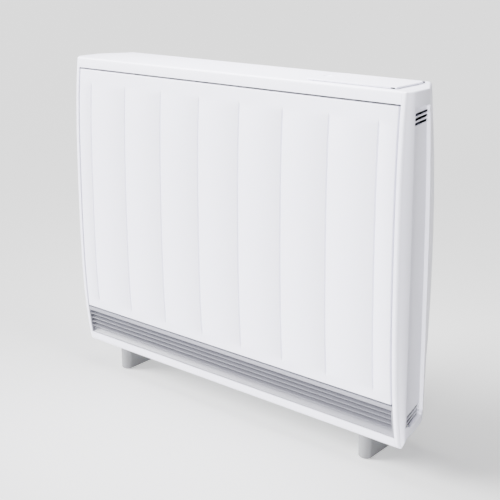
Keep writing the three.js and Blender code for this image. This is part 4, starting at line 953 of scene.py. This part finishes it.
class HEATER_OT_end_caps(bpy.types.Operator):
    """Moulded end caps with their recess, sloped foot and air slots"""

    bl_idname = "heater.end_caps"
    bl_label = "End caps"

    def form(self, name, inset):
        levels = casing_levels(CASING_BOTTOM + inset, CASING_TOP - inset)
        body = loft_piece(name, [(z, cap_outline(z, inset)) for z in levels])
        return carve(body, recess_tool(inset), lower_cut_tool(inset), heel_tool(inset))

    def slots(self, name, middle, height, tilt):
        """What a group of slots takes away, from its first slot downwards."""
        rows = repeats()
        reach = 20 * MM
        outline = round_slot(rows.slot_length, rows.slot_height, tilt)
        shape = section_piece(name + " shape", outline, -reach, reach)
        row = link(name, bpy.data.meshes.new(name))
        run_tree(
            row,
            row_tree(),
            shape=shape,
            count=rows.slot_count,
            start=(SIDE - 12 * MM, middle, height),
            step=(0, 0, -rows.slot_pitch),
            finish=finishes()["white_moulding"],
        )
        bpy.data.objects.remove(shape)
        return row

    def execute(self, context):
        form, rows = casing(), repeats()
        cover_gap, past = 1.2 * MM, 5 * MM
        cap = self.form("right_cap_moulding", 0.0)
        carve(cap, self.form("cap hollow", form.cap_wall))
        low = (SIDE - form.cap_return - past, FRONT, COVER_LOW[2] - cover_gap)
        high = (SIDE - form.cap_width, REAR + past, CASING_TOP + past)
        carve(cap, block_piece("cover room", low, high))
        middle = FRONT + (form.recess_front + form.recess_rear) / 2 + 0.5 * MM
        head = CASING_TOP - form.recess_head - rows.slot_head
        foot = CASING_BOTTOM + form.recess_foot + rows.slot_foot
        head_tilt, foot_tilt, foot_shift = 0.07, 0.27, 3 * MM
        carve(cap, self.slots("head slots", middle, head, head_tilt))
        carve(cap, self.slots("foot slots", middle + foot_shift, foot, foot_tilt))
        left = mirrored_copy(cap, "left_cap_moulding")
        for piece, node in ((cap, "right_end_cap"), (left, "left_end_cap")):
            soften(piece, 0.5)
            dress(piece, "white_moulding", nodes=(node,))
        return {"FINISHED"}


class HEATER_OT_top_cover(bpy.types.Operator):
    """Top cover with its front lip and the opening under the lid"""

    bl_idname = "heater.top_cover"
    bl_label = "Top cover"

    def outline(self, z, inset):
        """The cover's outline at height z, drawn in by inset. Its hollow reaches on over the caps' walls."""
        form = casing()
        corner = form.rear_corner
        seam = 0.05 * MM
        overlap = form.cap_wall if inset > 0 else 0
        fall = edge_fall(CASING_TOP - z, form.top_round)
        face = front_at(z) + inset
        rear = REAR - fall - inset
        half = SIDE - form.cap_width - seam + overlap
        x = rear_corner_x(z) - fall - inset
        slope = (x - SIDE) / (REAR - corner - band_start_y(z))
        y = band_start_y(z) + (half - SIDE + fall + inset) / slope - overlap / -slope
        right = [(half, face), (half, y), *arc(x - corner, rear - corner, corner, 0, 90, 4)]
        return [(-half, face), *right, *[(-a, b) for a, b in reversed(right[2:])], (-half, y)]

    def execute(self, context):
        low = COVER_LOW[2]
        sheet, wall = 1.2 * MM, 2.5 * MM
        levels = casing_levels(low, CASING_TOP)
        cover = loft_piece("top_cover_moulding", [(z, self.outline(z, 0.0)) for z in levels])
        inner_levels = [low - sheet, *spread(low + MM, CASING_TOP - sheet, 6)]
        carve(cover, loft_piece("cover hollow", [(z, self.outline(z, sheet)) for z in inner_levels]))
        well_low, well_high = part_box("control_bezel")
        low_corner = (well_low[0] + wall, well_low[1] + wall, low)
        high_corner = (well_high[0] - wall, well_high[1] - wall, CASING_TOP + sheet)
        carve(cover, block_piece("well", low_corner, high_corner))
        soften(cover, 0.35)
        dress(cover, "white_moulding", nodes=("top_cover",))
        return {"FINISHED"}


class HEATER_OT_control_lid(bpy.types.Operator):
    """Raised lid over the controls, with its rolled hinge edge, a finger scoop and a grip slot"""

    bl_idname = "heater.control_lid"
    bl_label = "Control lid"

    def execute(self, context):
        joint = next(j for j in frame["joints"] if j["name"] == "lid_hinge")
        hinge_y, hinge_z = joint["pos_m"][1], joint["pos_m"][2]
        left, near, right, top = LID_LOW[0], LID_LOW[1], LID_HIGH[0], LID_HIGH[2]
        reach = top - hinge_z
        rim = CASING_TOP + 0.9 * MM
        wall, nose, inset = 2.4 * MM, 1.2 * MM, 3.95 * MM
        section = [
            (near, rim),
            (near, top - nose),
            *arc(near + nose, top - nose, nose, 180, 90, 5)[1:],
            *arc(hinge_y, hinge_z, reach, 90, -10, 24),
            *arc(hinge_y, hinge_z, reach - wall, -10, 90, 18),
            (near + wall, top - wall),
            (near + wall, rim),
        ]
        lid = section_piece("control_lid_moulding", section, left + inset, right - inset)
        end = hinge_y - reach + 2 * MM
        side = [(near, rim), (end, rim), (end, top), *arc(near + nose, top - nose, nose, 90, 180, 5)]
        overlap, ear_wide, ear_gap, pin_bore = 0.5 * MM, 3 * MM, 0.5 * MM, 1.8 * MM
        ear = arc(hinge_y, hinge_z, reach - ear_gap, 0, 352.5, 47)
        ends = [
            section_piece("flange", side, left, left + inset + overlap),
            section_piece("flange", side, right - inset - overlap, right),
            section_piece("ear", ear, left + inset, left + inset + ear_wide),
            section_piece("ear", ear, right - inset - ear_wide, right - inset),
        ]
        carve(lid, *ends, operation="UNION")
        bore = section_piece("bore", arc(hinge_y, hinge_z, pin_bore, 0, 345, 23), left, right)
        bowl = [(r * MM, z * MM) for r, z in ((0, -2), (6.6, -1.9), (7.6, 0), (7.6, 3), (0, 3))]
        scoop = turned_piece("scoop", bowl)
        scoop_at = (left + 13 * MM, -10 * MM, top)
        scoop.data.transform(Matrix.Translation(scoop_at) @ Matrix.Diagonal((1.1, 1, 1, 1)))
        grip_low = (right - 12 * MM, near - MM, rim - MM)
        grip_high = (right - 3 * MM, near + 5 * MM, rim + 1.8 * MM)
        carve(lid, bore, scoop, block_piece("grip", grip_low, grip_high))
        soften(lid, 0.6, 3)
        dress(lid, "white_moulding", LID, ("control_lid",))
        return {"FINISHED"}


class HEATER_OT_grille(bpy.types.Operator):
    """Outlet grille: frame with a sloped ledge, and the slats"""

    bl_idname = "heater.grille"
    bl_label = "Outlet grille"

    def execute(self, context):
        form, rows = casing(), repeats()
        low, high = GRILLE_LOW[2], GRILLE_HIGH[2]
        half, rear = GRILLE_HIGH[0], GRILLE_HIGH[1]
        strip_high, ledge_high, ledge_run, ledge_lip, cheek_wide = 8.5 * MM, 12 * MM, 9 * MM, 2 * MM, 3 * MM
        strip_low, ledge_top, nose = high - strip_high, low + ledge_high, front_at(low) + MM
        strip = [(front_at(z), z) for z in spread(strip_low, high, 6)] + [(rear, high), (rear, strip_low)]
        ledge = [(nose, low), (rear, low), (rear, ledge_top)]
        ledge += [(nose + ledge_run, ledge_top), (nose, low + ledge_lip)]
        cheek = [(front_at(z), z) for z in spread(low, high, 10)] + [(rear, high), (rear, low)]
        surround = section_piece("grille_surround", strip, -half, half)
        carve(
            surround,
            section_piece("ledge", ledge, -half, half),
            section_piece("left cheek", cheek, -half, -half + cheek_wide),
            section_piece("right cheek", cheek, half - cheek_wide, half),
            operation="UNION",
        )
        soften(surround, 0.5)
        dress(surround, "frame_grey", nodes=("grille_frame",))
        thick = rows.slat_thickness / 2
        tilt, taper, end_gap = 0.42, 0.8, 3.3 * MM
        reach = half - end_gap
        depth = rows.slat_depth / math.cos(tilt)
        profile = arc(0, 0, thick, 270, 90, 10) + [(depth, thick * taper), (depth, -thick * taper)]
        slat = section_piece("slat shape", tilted(profile, tilt), -reach, reach)
        smooth(slat, 40)
        louvre = link("grille_louvre", bpy.data.meshes.new("grille_louvre"))
        run_tree(
            louvre,
            louvre_tree(),
            slat=slat,
            count=rows.slat_count,
            first_height=high - rows.slat_drop,
            pitch=rows.slat_pitch,
            front=FRONT + rows.slat_inset + thick,
            bow_top=CASING_TOP,
            bow_reach=form.bow_reach,
            bow_square=form.bow_square,
            bow_fourth=form.bow_fourth,
            finish=finishes()["slat_grey"],
        )
        bpy.data.objects.remove(slat)
        names = [f"grille_slat_{k + 1}" for k in range(rows.slat_count)]
        dress(louvre, "slat_grey", nodes=names)
        return {"FINISHED"}


class HEATER_OT_bottom_rail(bpy.types.Operator):
    """White rail under the grille, with its rolled lower edge"""

    bl_idname = "heater.bottom_rail"
    bl_label = "Bottom rail"

    def execute(self, context):
        turn = casing().bottom_round
        low, high = RAIL_LOW[2], RAIL_HIGH[2]
        overlap, sheet = 0.2 * MM, 2 * MM
        half, lip = RAIL_HIGH[0] + overlap, RAIL_HIGH[1]
        heights = [low + turn * share for share in quarter_ease(12)] + spread(low + turn, high, 4)[1:]
        outer = [(front_at(z), z) for z in heights]
        inner = [(front_at(z) + sheet, z + sheet if z < low + turn else z) for z in heights[1:]]
        edge = [(lip, low), (lip, low + sheet), (front_at(low) + sheet, low + sheet)]
        section = [*reversed(outer), *edge, *inner]
        rail = section_piece("bottom_rail_sheet", section, -half, half)
        soften(rail, 0.4)
        dress(rail, "white_paint", nodes=("bottom_rail",))
        return {"FINISHED"}


class HEATER_OT_feet(bpy.types.Operator):
    """Moulded feet with a round nose and a rounded sole"""

    bl_idname = "heater.feet"
    bl_label = "Feet"

    def execute(self, context):
        sole, wall, web_half = 4 * MM, 3 * MM, 1.5 * MM
        for side in ("left", "right"):
            low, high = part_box(f"{side}_foot")
            middle, half = (low[0] + high[0]) / 2, (high[0] - low[0]) / 2
            nose, rear, height = low[1], high[1], high[2]
            levels = []
            for share in [*quarter_ease(6), height / sole]:
                inset = edge_fall(share * sole, sole)
                outline = arc(middle, nose + half, half - inset, 180, 360, 32)
                outline += [(middle + half - inset, rear - inset), (middle - half + inset, rear - inset)]
                levels.append((share * sole, outline))
            foot = loft_piece(f"{side}_foot_moulding", levels)
            web = (nose + rear) / 2
            for y0, y1 in ((nose + half, web - web_half), (web + web_half, rear - wall)):
                low_corner = (middle - half + wall, y0, sole)
                high_corner = (middle + half - wall, y1, height + MM)
                carve(foot, block_piece("pocket", low_corner, high_corner))
            soften(foot, 0.6)
            dress(foot, "foot_grey", nodes=(f"{side}_foot",))
        return {"FINISHED"}


class HEATER_OT_controls(bpy.types.Operator):
    """Marks on the buttons and segments in the display"""

    bl_idname = "heater.controls"
    bl_label = "Controls"

    def segments(self):
        low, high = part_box("display_window")
        x0, top = low[0] + 14 * MM, high[2]
        height, width, stroke, pitch, gap = 11 * MM, 6 * MM, 1.1 * MM, 12 * MM, 0.15 * MM
        sunk, raised = 0.05 * MM, 0.08 * MM
        y0 = (low[1] + high[1]) / 2 - height / 2
        bars = {
            "a": (0, height - stroke, width, height),
            "b": (width - stroke, height / 2, width, height),
            "c": (width - stroke, 0, width, height / 2),
            "d": (0, 0, width, stroke),
            "e": (0, 0, stroke, height / 2),
            "f": (0, height / 2, stroke, height),
            "g": (0, (height - stroke) / 2, width, (height + stroke) / 2),
        }
        points, faces = [], []
        for place, letters in enumerate(("abged", "bc", "abcdef")):
            for letter in letters:
                a, b, c, d = bars[letter]
                left = x0 + place * pitch
                corners = [(left + a + gap, y0 + b + gap), (left + c - gap, y0 + b + gap)]
                corners += [(left + c - gap, y0 + d - gap), (left + a + gap, y0 + d - gap)]
                base = len(points)
                points += [(x, y, z) for z in (top - sunk, top + raised) for x, y in corners]
                faces += [tuple(base + k for k in (3, 2, 1, 0)), tuple(base + k for k in (4, 5, 6, 7))]
                faces += [tuple(base + k for k in (n, (n + 1) % 4, 4 + (n + 1) % 4, 4 + n)) for n in range(4)]
        dress(mesh_piece("display_segments", points, faces), "lit_segment")

    def mark(self, button, sides, start):
        low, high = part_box(button)
        radius, sunk, thick = 1.7 * MM, 0.1 * MM, 0.25 * MM
        x, y, z = (low[0] + high[0]) / 2, (low[1] + high[1]) / 2, high[2] - sunk
        ring = arc(x, y, radius, start, start + 360 * (sides - 1) / sides, sides - 1)
        dress(loft_piece(f"{button}_mark", [(z, ring), (z + thick, ring)]), "dark_moulding", button)

    def execute(self, context):
        self.segments()
        self.mark("button_down", 3, -90)
        self.mark("button_up", 3, 90)
        self.mark("button_mode", 24, 90)
        self.mark("button_enter", 4, 45)
        self.mark("button_boost", 6, 90)
        return {"FINISHED"}


class HEATER_OT_fasteners(bpy.types.Operator):
    """Screws in the back panel, the wall brackets and the base tray"""

    bl_idname = "heater.fasteners"
    bl_label = "Fasteners"

    def head(self):
        """A domed head with a cross drive."""
        radius = repeats().screw_radius
        rise, arm, deep = radius * 0.62, radius * 0.12, radius * 0.3
        dome = [(radius * math.cos(a), rise * math.sin(a)) for a in spread(0.1, 1.35, 7)]
        head = turned_piece("screw head", [(0, 0), (radius, 0), *dome, (0, rise)], 24)
        for turn in (0, math.pi / 2):
            bar = block_piece("drive", (-rise, -arm, deep), (rise, arm, radius))
            bar.data.transform(Matrix.Rotation(turn, 4, "Z"))
            carve(head, bar)
        return smooth(head, 30)

    def execute(self, context):
        low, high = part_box("back_panel")
        rib_high, bracket_sheet, row_inset = 3 * MM, 1.5 * MM, 7 * MM
        sheet_rear = high[1] - rib_high
        out, down = (0, 1, 0), (0, 0, -1)
        spots = []
        for z in (low[2] + row_inset, high[2] - row_inset):
            spots += [((x, sheet_rear, z), out) for x in spread(low[0] + 10 * MM, high[0] - 10 * MM, 6)]
        for x in (low[0] + 8 * MM, high[0] - 8 * MM):
            spots += [((x, sheet_rear, z), out) for z in (low[2] + 175 * MM, low[2] + 345 * MM)]
        for side in ("left", "right"):
            a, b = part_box(f"{side}_wall_bracket")
            z = a[2] + 12 * MM
            spots += [((x, a[1] + bracket_sheet, z), out) for x in (a[0] + 12 * MM, b[0] - 12 * MM)]
        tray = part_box("base_tray")[0]
        across = spread(tray[0] + 20 * MM, -tray[0] - 20 * MM, 5)
        spots += [((x, tray[1] + 8 * MM, tray[2]), down) for x in across]
        row = points_piece("casing_screws", spots)
        head = self.head()
        steel = finishes()["steel_screw"]
        run_tree(row, fastener_tree(), fastener=head, seed=repeats().spread_seed, finish=steel)
        bpy.data.objects.remove(head)
        dress(row, "steel_screw")
        return {"FINISHED"}


class HEATER_OT_frame_finishes(bpy.types.Operator):
    """Gives every solid of the frame that still shows its own finish"""

    bl_idname = "heater.frame_finishes"
    bl_label = "Frame finishes"

    def execute(self, context):
        slots = {part["node"]: part["material_slot"] for part in frame["record"]["subparts"]}
        for name, solid in frame["nodes"].items():
            if name not in slots:
                raise RuntimeError(f"{name} has no finish in the record")
            solid.data.materials.clear()
            solid.data.materials.append(finishes()[slots[name]])
        return {"FINISHED"}


class HEATER_OT_stage(bpy.types.Operator):
    """Pale floor, soft lights and the camera"""

    bl_idname = "heater.stage"
    bl_label = "Stage"

    def lamp(self, name, place, aim, size, power):
        data = bpy.data.lights.new(name, "AREA")
        data.shape = "RECTANGLE"
        data.size, data.size_y = size
        data.energy = power
        self.hang(name, data, Vector(aim) - Vector(place)).location = place

    def wide_light(self, name, towards, strength, softness):
        data = bpy.data.lights.new(name, "SUN")
        data.energy = strength
        data.angle = math.radians(softness)
        self.hang(name, data, -Vector(towards))

    def hang(self, name, data, way):
        lamp = bpy.data.objects.new(name, data)
        bpy.context.scene.collection.objects.link(lamp)
        lamp.rotation_euler = way.to_track_quat("-Z", "Y").to_euler()
        return lamp

    def camera(self):
        """The photograph's camera. Its focal length was fitted in pixels of the photograph."""
        yaw, pitch, roll = (math.radians(a) for a in (39.983, 12.326, 0.19))
        place = (1.33957, -1.57936, 0.98896)
        focal_pixels, wide_pixels, sensor_mm, shift, far = 1030.3, 500, 36, -0.18, 200
        ahead = Vector((-math.sin(yaw) * math.cos(pitch), math.cos(yaw) * math.cos(pitch), -math.sin(pitch)))
        across = Vector((math.cos(yaw), math.sin(yaw), 0))
        down = ahead.cross(across)
        right = across * math.cos(roll) + down * math.sin(roll)
        down = down * math.cos(roll) - across * math.sin(roll)
        data = bpy.data.cameras.new("photo view")
        data.sensor_width = sensor_mm
        data.lens = focal_pixels / wide_pixels * sensor_mm
        data.shift_y = shift
        data.clip_end = far
        view = bpy.data.objects.new("photo view", data)
        bpy.context.scene.collection.objects.link(view)
        turn = Matrix((right, -down, -ahead)).transposed().to_4x4()
        view.matrix_world = Matrix.Translation(place) @ turn
        bpy.context.scene.camera = view

    def execute(self, context):
        size, floor_glow, sky_tone, sky_strength = 60.0, 0.5, (0.97, 0.98, 1.0, 1), 0.08
        mesh = bpy.data.meshes.new("floor")
        corners = [(-size, -size, 0), (size, -size, 0), (size, size, 0), (-size, size, 0)]
        mesh.from_pydata(corners, [], [(0, 1, 2, 3)])
        floor = link("floor", mesh)
        ground = Finish("floor", roughness=0.85, specular=0.1)
        ground.set("Base Color", ground.tint(colours().floor, ground.noise(3), 0.05, 0.97))
        ground.set("Emission Color", (1, 1, 1, 1))
        ground.set("Emission Strength", floor_glow)
        mesh.materials.append(ground.material)
        world = bpy.data.worlds.new("studio")
        world.use_nodes = True
        sky = world.node_tree.nodes["Background"].inputs
        sky["Color"].default_value = sky_tone
        sky["Strength"].default_value = sky_strength
        context.scene.world = world
        self.wide_light("key", towards=(-0.8, -0.47, 0.4), strength=13.2, softness=35)
        self.wide_light("front fill", towards=(0.2, -1, 0.09), strength=6, softness=12)
        self.lamp("top strip", place=(0, -0.02, 1.1), aim=(0, -0.02, 0), size=(1.0, 0.3), power=22)
        self.camera()
        return {"FINISHED"}


class HEATER_PT_sidebar(bpy.types.Panel):
    """The heater's sizes, colours and making steps"""

    bl_idname = "HEATER_PT_sidebar"
    bl_label = "Storage heater"
    bl_space_type = "VIEW_3D"
    bl_region_type = "UI"
    bl_category = "Heater"

    def draw(self, context):
        for step in STEPS:
            self.layout.operator(step.bl_idname)
        for group in (casing(), repeats(), colours()):
            box = self.layout.box()
            for name in group.__annotations__:
                box.prop(group, name)


STEPS = (
    HEATER_OT_stage,
    HEATER_OT_front_panel,
    HEATER_OT_end_caps,
    HEATER_OT_top_cover,
    HEATER_OT_control_lid,
    HEATER_OT_grille,
    HEATER_OT_bottom_rail,
    HEATER_OT_feet,
    HEATER_OT_controls,
    HEATER_OT_fasteners,
    HEATER_OT_frame_finishes,
)
GROUPS = {"heater_casing": HeaterCasing, "heater_repeats": HeaterRepeats, "heater_colours": HeaterColours}


def register():
    for group in GROUPS.values():
        bpy.utils.register_class(group)
    for step in (*STEPS, HEATER_PT_sidebar):
        bpy.utils.register_class(step)
    for name, group in GROUPS.items():
        setattr(bpy.types.Scene, name, PointerProperty(type=group))


def unregister():
    for name in GROUPS:
        delattr(bpy.types.Scene, name)
    for step in (HEATER_PT_sidebar, *reversed(STEPS), *GROUPS.values()):
        bpy.utils.unregister_class(step)


def main():
    register()
    for step in STEPS:
        family, action = step.bl_idname.split(".")
        getattr(getattr(bpy.ops, family), action)()


if __name__ == "__main__":
    main()
